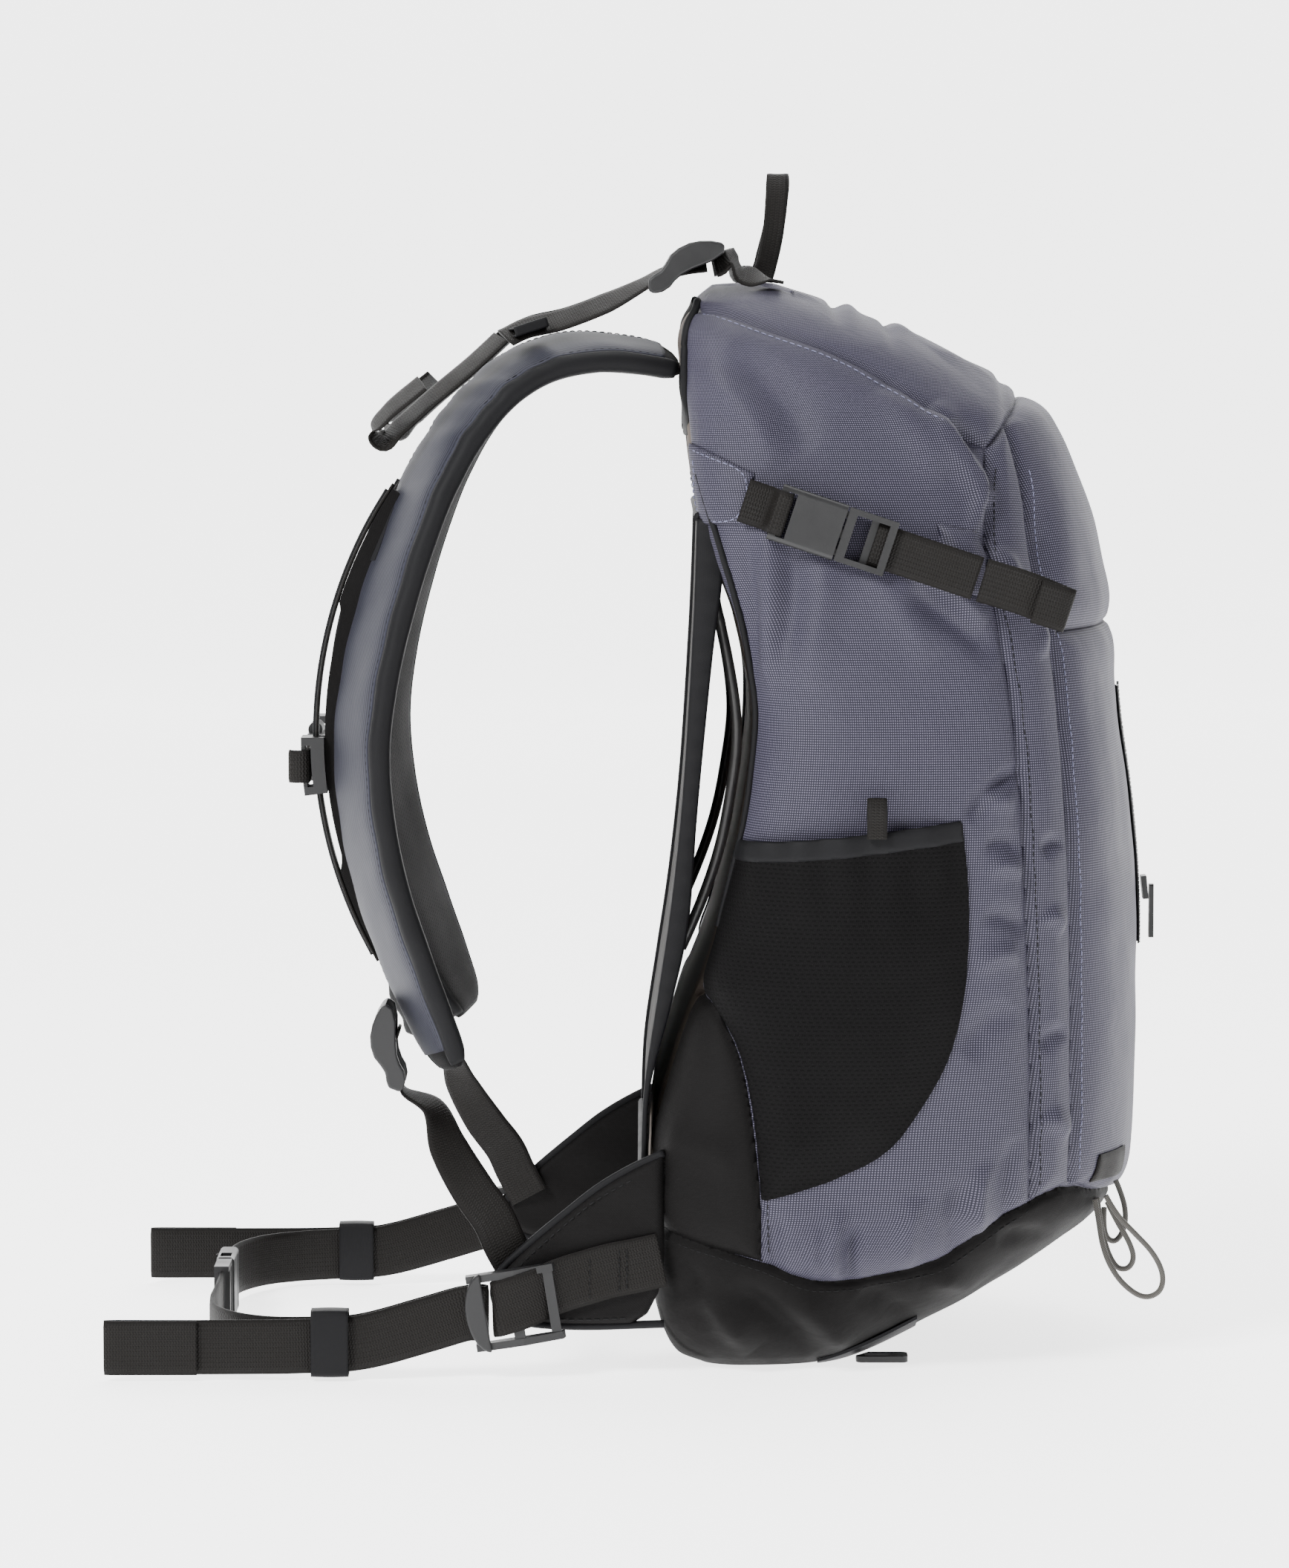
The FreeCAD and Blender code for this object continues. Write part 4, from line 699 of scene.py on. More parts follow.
low = cap_rings(gx[0], gy[0], 0.0, 0.0, 30)
high = cap_rings(gx[-1], gy[-1], BAG_TOP, 0.6, 16)
gx = np.vstack([r[0] for r in low[::-1]] + [gx] + [r[0] for r in high])
gy = np.vstack([r[1] for r in low[::-1]] + [gy] + [r[1] for r in high])
gz = np.vstack([r[2] for r in low[::-1]] + [gz] + [r[2] for r in high])
ROWS = gx.shape[0]
pos = np.stack([gx, gy, gz], axis=2)
du = np.roll(pos, -1, axis=1) - np.roll(pos, 1, axis=1)
dv = np.gradient(pos, axis=0)
normal = np.cross(du, dv)
length = np.linalg.norm(normal, axis=2, keepdims=True)
normal = np.where(length > 1e-9, normal / np.maximum(length, 1e-9), np.array([0, 0, 1.0]))
centre = np.array([50.0, 0.0, 250.0])
flip = np.sum(normal * (pos - centre), axis=2).mean() < 0
if flip:
    normal = -normal
back_side = (gx < -2) & (np.abs(gy) < 124)
amount = displacement(gx, gy, gz, normal[:, :, 1]) + seam_depth(gx, gy, gz, back_side)
amount *= np.clip((gz - 0.5) / 6.0, 0, 1)
amount = np.minimum(amount, MAX_STAND_OFF)
skin = pos + normal * amount[:, :, None]
skin[:, :, 2] = np.maximum(skin[:, :, 2], 0.0)
profile_run = np.concatenate([[0], np.cumsum(np.linalg.norm(np.diff(pos, axis=0), axis=2).max(axis=1))])
cloth_uv = np.stack([np.repeat(arc[None], ROWS, axis=0), np.repeat(profile_run[:, None], COUNT, axis=1),
                     np.zeros((ROWS, COUNT))], axis=2) * MM
ids = np.arange(ROWS * COUNT).reshape(ROWS, COUNT)
quads = np.stack([ids[:-1], np.roll(ids, -1, axis=1)[:-1], np.roll(ids, -1, axis=1)[1:], ids[1:]],
                 axis=2).reshape(-1, 4)
if flip:
    quads = quads[:, ::-1]

plain = pos.reshape(-1, 3)
bumped = skin.reshape(-1, 3)
uv_flat = cloth_uv.reshape(-1, 3)


def cut_mesh(plain, bumped, uv, faces, field):
    """Cuts faces along the field's zero line, keeping quads and triangles. faces: list of tuples."""
    plain, bumped, uv, field = list(plain), list(bumped), list(uv), list(field)
    cuts = {}
    out = []
    for f in faces:
        vals = [field[i] for i in f]
        if min(vals) >= 0 or max(vals) <= 0:
            out.append(f)
            continue
        ring = []
        n = len(f)
        for k in range(n):
            a, b = f[k], f[(k + 1) % n]
            ring.append(a)
            va, vb = field[a], field[b]
            if va * vb < 0:
                key = (a, b) if a < b else (b, a)
                if key not in cuts:
                    t = va / (va - vb)
                    cuts[key] = len(plain)
                    plain.append(plain[a] * (1 - t) + plain[b] * t)
                    bumped.append(bumped[a] * (1 - t) + bumped[b] * t)
                    uv.append(uv[a] * (1 - t) + uv[b] * t)
                    field.append(0.0)
                ring.append(cuts[key])
        for sign in (1, -1):
            part = [i for i in ring if field[i] * sign >= 0]
            if len(part) >= 3 and any(field[i] * sign > 0 for i in part):
                out.append(tuple(part))
    return np.array(plain), np.array(bumped), np.array(uv), out


def zone_cut(plain, bumped, uv, faces, function):
    """Cuts faces where the function changes sign; only those that it crosses are rebuilt."""
    field = function(plain)
    field = np.where(np.abs(field) < 0.02, 0.0, field)
    small = [f for f in faces if len(f) <= 4]
    vals = field[np.array([tuple(f) + (f[-1],) * (4 - len(f)) for f in small])]
    crossing = (vals.min(axis=1) < 0) & (vals.max(axis=1) > 0)
    keep = [f for f, c in zip(small, crossing) if not c]
    todo = [f for f, c in zip(small, crossing) if c] + [f for f in faces if len(f) > 4]
    plain, bumped, uv, new = cut_mesh(plain, bumped, uv, todo, field)
    return plain, bumped, uv, keep + new


def compact(faces):
    """The vertices that the faces use, and the faces numbered by them."""
    used = np.unique(np.concatenate([np.array(f) for f in faces]))
    index = {int(v): i for i, v in enumerate(used)}
    return used, [tuple(index[int(i)] for i in f) for f in faces]


def trim_to(field, flat, data, uv, faces):
    """Cuts along the field's zero line and keeps what lies inside it."""
    flat, data, uv, faces = zone_cut(flat, data, uv, faces, field)
    mid = np.array([flat[list(f)].mean(axis=0) for f in faces])
    used, faces = compact([f for f, k in zip(faces, field(mid) > 0) if k])
    return flat[used], data[used], uv[used], faces


def zone_function(poly):
    return lambda p: polygon_field(p[:, 0], p[:, 2], poly)


faces = [tuple(q) for q in quads.tolist()]
CUTS = [zone_function(ZONES[k]) for k in ("lid", "base", "front", "gusset", "corner")]
CUTS.append(lambda p: np.where((p[:, 0] > 100), p[:, 2] - FLAP_TOP, -50.0))
CUTS.append(lambda p: np.where(p[:, 0] < -2, np.abs(p[:, 1]) - back_limit(p[:, 2]), 50.0))
for cut in CUTS:
    plain, bumped, uv_flat, faces = zone_cut(plain, bumped, uv_flat, faces, cut)

mids = np.array([plain[list(f)].mean(axis=0) for f in faces])
inside = {k: polygon_field(mids[:, 0], mids[:, 2], ZONES[k]) > 0 for k in ZONES}
label = np.full(len(faces), "side", dtype=object)
label[(mids[:, 0] < -2) & (np.abs(mids[:, 1]) < back_limit(mids[:, 2]))] = "back"
label[inside["corner"] & (label == "side")] = "corner"
label[inside["gusset"] & (mids[:, 0] > 60)] = "gusset"
label[inside["front"] & (mids[:, 0] > 60)] = "front"
label[inside["base"]] = "base"
label[inside["lid"]] = "lid"
label[(label == "front") & (mids[:, 2] > FLAP_TOP)] = "upper"

PANELS = {
    "side": ("cloth_side_panels", SLATE, ["side_panels"], "cloth"),
    "back": ("cloth_back_sheet", LINING, ["back_panel"], "lining"),
    "corner": ("cloth_lower_back_corners", BLACK, ["corner_panels"], "black_cloth"),
    "gusset": ("cloth_gussets", SLATE, ["gusset_panels"], "cloth"),
    "front": ("cloth_front_pocket", SLATE, ["front_pocket"], "cloth"),
    "upper": ("cloth_upper_front", SLATE, ["upper_front"], "cloth"),
    "base": ("cloth_base", BLACK, ["base_panel"], "black_cloth"),
    "lid": ("cloth_top_lid", SLATE, ["top_lid"], "cloth"),
}

for key, (name, material, nodes, slot_name) in PANELS.items():
    used, local = compact([faces[i] for i in np.nonzero(label == key)[0]])
    ob = add_mesh(name, bumped[used], local, material, uv_flat[used], "bag", True, nodes, slot_name)
    thicken(ob, 1.0)


def skin_point(x, z, side=-1, off=0.0):
    """A point on the near (-1) or far (+1) side of the dressed skin, and its outward normal."""
    row = int(np.argmin(np.abs(gz[:, 0] - z)))
    want = gy[row] * side > 0
    wide = np.abs(gy[row]) > 0.35 * np.abs(gy[row]).max()
    cost = np.where(want & wide, np.abs(gx[row] - x), 1e9)
    k = int(np.argmin(cost))
    return skin[row, k] + normal[row, k] * off, normal[row, k]


def front_point(y, z, off=0.0):
    """A point on the front of the dressed skin, and its outward normal."""
    row = int(np.argmin(np.abs(gz[:, 0] - z)))
    cost = np.where(gx[row] > 30, np.abs(gy[row] - y), 1e9)
    k = int(np.argmin(cost))
    return skin[row, k] + normal[row, k] * off, normal[row, k]


grid_normal = normal.reshape(-1, 3)
grid_skin = skin.reshape(-1, 3)
grid_plain = pos.reshape(-1, 3)
grid_uv = cloth_uv.reshape(-1, 3)
quad_mid = grid_plain[quads].mean(axis=1)
quad_ny = grid_normal[quads].mean(axis=1)[:, 1]


def skin_patch(name, poly, side, lift, material, nodes=(), slot_name="cloth", plane="side", thick=0.9):
    """A piece of cloth lying on the skin inside a polygon of the side or front view.
    lift(distance from the edge, points) gives how far it stands off, in millimetres."""
    lo = np.min(np.array(poly), axis=0) - 4
    hi = np.max(np.array(poly), axis=0) + 4
    axis = 0 if plane == "side" else 1
    near = ((quad_mid[:, axis] > lo[0]) & (quad_mid[:, axis] < hi[0])
            & (quad_mid[:, 2] > lo[1]) & (quad_mid[:, 2] < hi[1]))
    if plane == "side":
        near &= (quad_ny * side > 0.12)
    else:
        near &= quad_mid[:, 0] > 60
    chosen = quads[near]
    used, inverse = np.unique(chosen, return_inverse=True)
    local = [tuple(f) for f in inverse.reshape(-1, 4).tolist()]
    data = np.hstack([grid_skin[used], grid_normal[used]])

    def field(p):
        return polygon_field(p[:, axis], p[:, 2], poly)

    flat, data, uv, local = trim_to(field, grid_plain[used], data, grid_uv[used], local)
    edge = np.maximum(field(flat), 0)
    off = lift(edge, flat)
    points = data[:, :3] + unit(data[:, 3:]) * np.asarray(off)[:, None]
    ob = add_mesh(name, points, local, material, uv, "bag", True, nodes, slot_name)
    thicken(ob, thick)


# ------------------------------------------------------------------------------------------------
# tabs, patches and the mesh bottle pockets on the skin
# ------------------------------------------------------------------------------------------------
POCKET = [
    (-28, 246), (-8, 247.5), (20, 250.5), (48, 254), (73, 257), (77, 222), (76, 181), (69, 149), (56, 126),
    (40, 104), (13, 92), (-17, 83), (-20, 119), (-25, 145), (-31, 160), (-43, 176)]
POCKET_ROUND = POCKET[:4] + soften(POCKET[4:11], 2) + soften(POCKET[11:], 1)
POCKET_SIDES = POCKET_ROUND[4:] + [POCKET[0]]
HEM = [
    (-28, 246), (-8, 247.5), (20, 250.5), (48, 254), (73, 257), (73.8, 247.5), (48, 244.5), (20, 241), (-8, 238),
    (-30.0, 236.5)]


def pocket_lift(edge, p):
    d = seg_distance(p[:, 0], p[:, 2], POCKET_SIDES)
    out = 1.2 + 7.6 * (1 - np.exp(-(d / 17.0) ** 1.5))
    gather = 0.9 * np.sin(p[:, 0] * 0.33 + 1.0) * np.exp(-((p[:, 2] - 240) / 26.0) ** 2)
    slack = 1.1 * lumps(p[:, 0], p[:, 1] * 0, p[:, 2], 48.0, 21) * np.clip(d / 25, 0, 1)
    return np.maximum(out + gather + slack - 0.6, 1.0)


for s, side_name in SIDES:
    skin_patch("bottle_pocket_mesh_" + side_name, POCKET_ROUND, -s, pocket_lift, POCKET_MESH,
               once(s, "bottle_pockets"), "mesh", thick=0.9)
    skin_patch("bottle_pocket_hem_" + side_name, HEM, -s,
               lambda e, p: pocket_lift(e, p) + 0.9 * (1 - np.exp(-e / 0.7)),
               BINDING, (), "elastic", thick=1.6)
    skin_patch("compression_tab_" + side_name, [(-49, 427), (-20, 413), (-24, 390), (-44, 390)], -s,
               lambda e, p: 0.7 + 1.3 * (1 - np.exp(-e / 0.7)), SLATE, once(s, "compression_tabs"), thick=1.2)
    skin_patch("compression_anchor_" + side_name, [(62, 391), (80, 386), (87, 377), (83, 356), (66, 362)], -s,
               lambda e, p: 0.7 + 5.6 * (1 - np.exp(-e / 5.0)), SLATE, once(s, "compression_anchors"), thick=1.2)


def skin_line(line, side, off, step=1.5):
    """Points and normals on the dressed skin along a line of the side view."""
    p = np.array([(x, 0.0, z) for x, z in line])
    path, _ = bezier_path(p, step)
    pts, nrm = [], []
    for x, _, z in path:
        q, n = skin_point(x, z, side, off)
        pts.append(q)
        nrm.append(n)
    pts = np.array(pts)
    for _ in range(3):
        pts[1:-1] = (pts[:-2] + 2 * pts[1:-1] + pts[2:]) / 4
    return pts, np.array(nrm)


def shift_line(line, by):
    p = np.array(line, dtype=float)
    d = unit(np.gradient(p, axis=0))
    return [(a + n[1] * by, b - n[0] * by) for (a, b), n in zip(p, d)]


def seam_threads(name, line, side, by, material, length=2.4, gap=1.1, lift=0.12):
    pts, nrm = skin_line(shift_line(line, by), side, 0.0, 3.0)
    return stitches(name, pts, nrm, material, length, gap, 0.26, lift=lift)


LID_LINE = soften([(-43, 491), (-12, 480), (15, 470), (36, 460), (56, 446), (80, 429)])
GUSSET_LINE = soften([(87, 415), (85, 400), (86, 370), (94, 332), (101, 283), (105, 222), (108, 160), (108, 84)])
FRONT_LINE = soften([(104, 413), (110, 370), (119, 332), (124, 268), (128, 196), (129, 124), (128, 90)])
BASE_LINE = soften([(-60, 66), (-17, 54), (2, 45), (21, 43), (44, 46), (61, 50), (74, 56), (86, 65), (106, 78)], 1)
CORNER_LINE = soften([(-17, 58), (-17, 82), (-21, 119), (-26, 145), (-32, 160), (-42, 174)], 1)
for s, side_name in SIDES:
    seam_threads("lid_stitching_" + side_name, LID_LINE, -s, 4.2, STITCH)
    seam_threads("gusset_stitching_" + side_name, GUSSET_LINE, -s, -3.6, STITCH_DARK)
    seam_threads("front_stitching_" + side_name, FRONT_LINE, -s, -3.4, STITCH)
    seam_threads("base_stitching_" + side_name, BASE_LINE, -s, 3.4, STITCH_DARK)
    seam_threads("corner_stitching_" + side_name, CORNER_LINE, -s, 3.0, STITCH_DARK)
    tab_line = [(-45.5, 423), (-23.5, 411), (-27, 393), (-41.5, 393), (-45.5, 421)]
    pts, nrm = skin_line(tab_line, -s, 1.9, 2.0)
    stitches("compression_tab_stitching_" + side_name, pts, nrm, STITCH, 2.2, 1.2, 0.28)
    edge_line = [(-49.5, 430), (-50, 452), (-50, 470), (-49, 484), (-46, 491)]
    pts, nrm = skin_line(edge_line, -s, 0.9, 3.0)
    tube("back_edge_piping_" + side_name, pts, 1.9, BINDING, slot_name="black_cloth")
    edge_line = [(-44, 412), (-36, 385), (-26, 350), (-18, 305), (-23, 255), (-34, 205)]
    pts, nrm = skin_line(edge_line, -s, 0.6, 4.0)
    tube("lower_back_piping_" + side_name, pts, 1.6, BINDING, slot_name="black_cloth")

skin_patch("pole_loop_anchor_patch", [(-74, 82.5), (-42, 82.5), (-42, 96), (-74, 96)], 0,
           lambda e, p: 0.7 + 0.9 * (1 - np.exp(-e / 0.8)), WEB[16], ["pole_loop_anchor"], "webbing", "front", 1.2)


# ------------------------------------------------------------------------------------------------
# suspended back mesh with its binding
# ------------------------------------------------------------------------------------------------
MESH_LINE = [
    (-46, 392), (-47, 360), (-48, 337), (-52, 271), (-55, 238), (-59, 205), (-64, 172), (-70, 130), (-71.5, 95)]
INNER_LINE = [
    (-33.5, 392), (-34.5, 364), (-38, 337), (-43, 288), (-46, 255), (-50, 205), (-57, 172), (-67.5, 130),
    (-69, 95)]
mesh_path, mesh_run = bezier_path([(x, 0, z) for x, z in MESH_LINE], 3.0)
MESH_HALF = 100.5
MESH_COLUMNS = 68
verts, cloth = [], []
for i, p in enumerate(mesh_path):
    t = mesh_run[i] / mesh_run[-1]
    for k in range(MESH_COLUMNS + 1):
        y = -MESH_HALF + 2 * MESH_HALF * k / MESH_COLUMNS
        curve = 1.6 * (1 - (y / MESH_HALF) ** 2) * math.sin(math.pi * t)
        verts.append((p[0] + 1.2 + curve, y, p[2]))
        cloth.append((y * MM, mesh_run[i] * MM, 0))
faces = ring_faces(len(mesh_path), MESH_COLUMNS + 1, closed=False, caps=False)
mesh_sheet = add_mesh("suspended_back_mesh", verts, faces, BACK_MESH, cloth, "bag", True, ["back_mesh"], "mesh")
thicken(mesh_sheet, 1.4)

BINDING_SIDES = 12
BINDING_Y = 102.0
inner_path, _ = bezier_path([(x, 0, z) for x, z in INNER_LINE], 3.0)
inner_z = inner_path[::-1, 2]
inner_x = inner_path[::-1, 0]
for s, side_name in SIDES:
    verts, cloth = [], []
    for i, p in enumerate(mesh_path):
        back = p[0] - 0.3
        front = float(np.interp(p[2], inner_z, inner_x))
        run_s = mesh_run[i]
        pucker = 0.35 * math.sin(run_s * 0.55)
        for k in range(BINDING_SIDES):
            t = 2 * math.pi * k / BINDING_SIDES
            c, q = math.cos(t), math.sin(t)
            c = math.copysign(abs(c) ** 0.5, c)
            q = math.copysign(abs(q) ** 0.7, q)
            verts.append(((back + front) / 2 + (front - back) / 2 * c, -(BINDING_Y + (2.2 + pucker) * q) * s, p[2]))
            cloth.append((run_s * MM, t * 0.004, 0))
    faces = ring_faces(len(mesh_path), BINDING_SIDES, flip=True)
    add_mesh("back_mesh_binding_" + side_name, verts, faces, BINDING, cloth, "bag", True,
             once(s, "mesh_bindings"), "black_cloth")
for tag, row in (("top", 0), ("bottom", len(mesh_path) - 1)):
    x, _, z = mesh_path[row]
    line = [(x + 0.6, y, z + (0.8 if tag == "top" else 0.6)) for y in (-101, -60, -20, 20, 60, 101)]
    tube("back_mesh_hem_" + tag, line, 2.2, BINDING, slot_name="black_cloth")

# ------------------------------------------------------------------------------------------------
# shoulder straps
# ------------------------------------------------------------------------------------------------
STRAP = [
    (-56, -52, 461, 4, 0.80), (-73, -54, 465, 6, 0.90), (-95, -57, 467, 8, 0.98), (-116, -61, 463.5, 11, 1.0),
    (-135, -66, 453, 13, 1.0), (-153, -72, 434, 15, 1.0), (-168, -78, 409, 17, 1.0), (-179, -84, 382, 18, 1.0),
    (-188.5, -89, 352, 19, 1.0), (-196, -93, 319, 19, 1.0), (-199.5, -97, 287, 19, 1.0),
    (-197, -100, 254, 19, 1.0), (-190.5, -102, 223, 19, 1.0), (-181, -104, 195, 19, 0.97),
    (-171, -105.5, 170, 19, 0.86), (-162, -106.5, 150, 19, 0.66), (-157.5, -107, 141, 19, 0.40)]
STRAP_WIDTH = 66.0
STRAP_THICK = 11.5
station = np.array(STRAP, dtype=float)
strap_mid, strap_s = bezier_path(station[:, :3], 2.0)
known = np.concatenate([[0], np.cumsum(np.linalg.norm(np.diff(station[:, :3], axis=0), axis=1))])
known = known / known[-1] * strap_s[-1]
strap_lean = np.radians(np.interp(strap_s, known, station[:, 3]))
strap_share = np.interp(strap_s, known, station[:, 4])
for _ in range(6):
    strap_share[1:-1] = (strap_share[:-2] + 2 * strap_share[1:-1] + strap_share[2:]) / 4
strap_dir = unit(np.gradient(strap_mid, axis=0))
flat_dir = np.array([0.0, -1.0, 0.0])
strap_out = unit(np.cross(strap_dir, flat_dir))
strap_wide = flat_dir * np.cos(strap_lean)[:, None] - strap_out * np.sin(strap_lean)[:, None]
strap_wide = unit(strap_wide - strap_dir * np.sum(strap_wide * strap_dir, axis=1, keepdims=True))
strap_face = unit(np.cross(strap_wide, strap_dir))
strap_face = np.where(np.sum(strap_face * strap_out, axis=1, keepdims=True) < 0, -strap_face, strap_face)
TOP_FACE = [
    (-0.86, 0.60), (-0.80, 0.74), (-0.7, 0.87), (-0.55, 0.96), (-0.35, 1.0), (-0.12, 1.02), (0.12, 1.02),
    (0.35, 1.0), (0.55, 0.96), (0.7, 0.87), (0.80, 0.74), (0.86, 0.60)]
RING = [(1.0, 0.0), (0.995, 0.24), (0.965, 0.42), (0.90, 0.50)] + [(a, h - 0.06) for a, h in TOP_FACE[::-1]] + [
    (-0.90, 0.50), (-0.965, 0.42), (-0.995, 0.24), (-1.0, 0.0), (-0.99, -0.3), (-0.95, -0.55), (-0.86, -0.78),
        (-0.7, -0.9),
    (-0.4, -0.97), (0.0, -1.0), (0.4, -0.97), (0.7, -0.9), (0.86, -0.78), (0.95, -0.55), (0.99, -0.3)]


def strap_point(i, a, h, s):
    """A point on the strap at station i: a across and h up, both as shares of the half width and thickness."""
    half = STRAP_WIDTH * strap_share[i] / 2
    thick = STRAP_THICK / 2 * (0.8 + 0.2 * strap_share[i])
    end = min(strap_s[i], strap_s[-1] - strap_s[i])
    thick *= 0.45 + 0.55 * min(end / 7.0, 1.0) ** 0.5
    crease = 0.35 * math.sin(strap_s[i] * 0.42 + a * 1.5) * math.exp(-((strap_s[i] - 95) / 38.0) ** 2) * (h > 0.5)
    crease += 0.22 * math.sin(strap_s[i] * 0.21 + 2.0 * a)
    p = strap_mid[i] + strap_wide[i] * a * half + strap_face[i] * (h * thick + crease * (h > 0))
    return (p[0], p[1] * s, p[2])


for s, side_name in SIDES:
    rows = [[strap_point(i, a, h, s) for a, h in RING] for i in range(len(strap_mid))]
    n = len(RING)
    verts, faces = [v for r in rows for v in r], ring_faces(len(rows), n)
    girth = np.concatenate([[0], np.cumsum(np.hypot(*(np.diff(np.array(RING), axis=0) * [33, 5.75]).T))])
    cloth = [(strap_s[i] * MM, girth[k] * MM, 0) for i in range(len(rows)) for k in range(n)]
    pad = add_mesh("strap_pad_" + side_name, verts, faces, SPACER, cloth, "bag", True,
                   ["shoulder_strap_" + side_name],
                   "padding")
    first, last = 4, len(strap_mid) - 5
    rows = [[strap_point(i, a, h + 0.09, s) for a, h in TOP_FACE] for i in range(first, last)]
    verts, faces, n = loft(rows, False)
    cloth = [(strap_s[i] * MM, TOP_FACE[k][0] * 33 * MM, 0) for i in range(first, last) for k in range(n)]
    face = add_mesh("strap_face_" + side_name, verts, faces, SLATE_STRAP, cloth, "bag", True, (), "cloth")
    thicken(face, 0.7)
    for tag, sign in (("outer", 1), ("inner", -1)):
        profile = [(0.84, 0.66), (0.86, 0.76), (0.90, 0.74), (0.95, 0.62), (0.99, 0.42), (1.012, 0.1), (1.012, -0.25),
                   (0.985, -0.5), (0.945, -0.66), (0.89, -0.8), (0.86, -0.72)]
        rows = [[strap_point(i, a * sign, h, s) for a, h in profile] for i in range(1, len(strap_mid) - 1)]
        verts, faces, n = loft(rows, False)
        cloth = [(strap_s[i] * MM, k * 1.6 * MM, 0) for i in range(1, len(strap_mid) - 1) for k in range(n)]
        trim = add_mesh("strap_binding_%s_%s" % (tag, side_name), verts, faces, BINDING, cloth, "bag", True, (),
                        "black_cloth")
        thicken(trim, 0.5)
        pts = [strap_point(i, 0.79 * sign, 0.90, s) for i in range(first, last, 4)]
        nrm = [(strap_face[i][0], strap_face[i][1] * s, strap_face[i][2]) for i in range(first, last, 4)]
        stitches("strap_stitching_%s_%s" % (tag, side_name), pts, nrm, STITCH_DARK, 2.4, 1.2, 0.27)

# the rail's base, its tape and its piping
RAIL_R, RAIL_X, RAIL_Z = 207.5, -13.0, 290.0


def rail_point(angle, y, extra):
    """A point on the arc that the sternum strap slides along."""
    a = math.radians(angle)
    r = RAIL_R + extra
    return (RAIL_X - r * math.cos(a), y, RAIL_Z + r * math.sin(a))


def strap_surface(angle):
    """Radius at which the strap's face lies below the rail."""
    for drop in np.arange(0.5, 11.0, 0.5):
        q = np.array(rail_point(angle, -66.0, -drop))
        i = int(np.argmin(np.linalg.norm(strap_mid - q, axis=1)))
        a = np.dot(q - strap_mid[i], strap_wide[i]) / (STRAP_WIDTH * strap_share[i] / 2)
        h = np.dot(q - strap_mid[i], strap_face[i]) / (STRAP_THICK / 2)
        if abs(a) < 1.0 and h < 0.8:
            return drop + 1.0
    return 11.0


for s, side_name in SIDES:
    rows, cloth = [], []
    for a in np.linspace(-29.5, 33.5, 64):
        top = 0.2 + 2.7 * float(np.clip((17.5 - abs(a)) / 1.5, 0, 1))
        low = max(strap_surface(a), top + 0.4)
        rows.append([rail_point(a, (-66 + y) * s, -d) for y, d in ((-4.2, low), (-4.4, top), (4.4, top), (4.2, low))])
        cloth += [(math.radians(a) * RAIL_R * MM, d * MM, 0) for d in (low, 0, 9, 9 + low)]
    verts, faces, n = loft(rows, True)
    faces += [(0, 1, 2, 3), tuple(len(verts) - 4 + k for k in range(4))[::-1]]
    add_mesh("strap_rail_base_" + side_name, verts, faces, BLACK, cloth, "bag", False, (), "black_cloth")
    line = [rail_point(a, -66 * s, 0.8) for a in np.linspace(-30, 34, 18)]
    web("strap_rail_" + side_name, line, (0, 1, 0), 9.0, WEB[9], thick=1.5, replaces=once(s, "strap_rails"))
    line = [rail_point(a, -66 * s, 1.9) for a in np.linspace(-29, 33, 14)]
    tube("strap_rail_cord_" + side_name, line, 1.0, BINDING, slot_name="webbing")


# ------------------------------------------------------------------------------------------------
# webbings
# ------------------------------------------------------------------------------------------------
def frame_point(origin, run, up):
    """Gives a function from a piece's own (x, z) to the pack's frame."""
    origin, run, up = (np.array(v, dtype=float) for v in (origin, run, up))
    return lambda x, z: origin + run * x + up * z


comp_dir = unit((0.948656, -0.033786, -0.3145))
comp_out = unit(np.cross(comp_dir, (0, 0, 1)))
comp_wall = unit(np.cross(comp_dir, comp_out))
comp_point = frame_point((-2.5134, -125.7145, 393.855), comp_dir, comp_out)
COMP_TAIL = (82.1166, -133.2315, 365.7452)
comp_run = float(np.dot(np.array(COMP_TAIL) - comp_point(0, 4.5), comp_dir)) - 2.4
lock_dir = unit((38, 0, 11))
lock_point = frame_point((-51, -54, 508), lock_dir, (-lock_dir[2], 0, lock_dir[0]))
lower_dir = unit((-4.0, 0, -38))
lower_point = frame_point((-186, -98, 150), lower_dir, unit((-38, 0, 4)))
lifter_y = -54.0

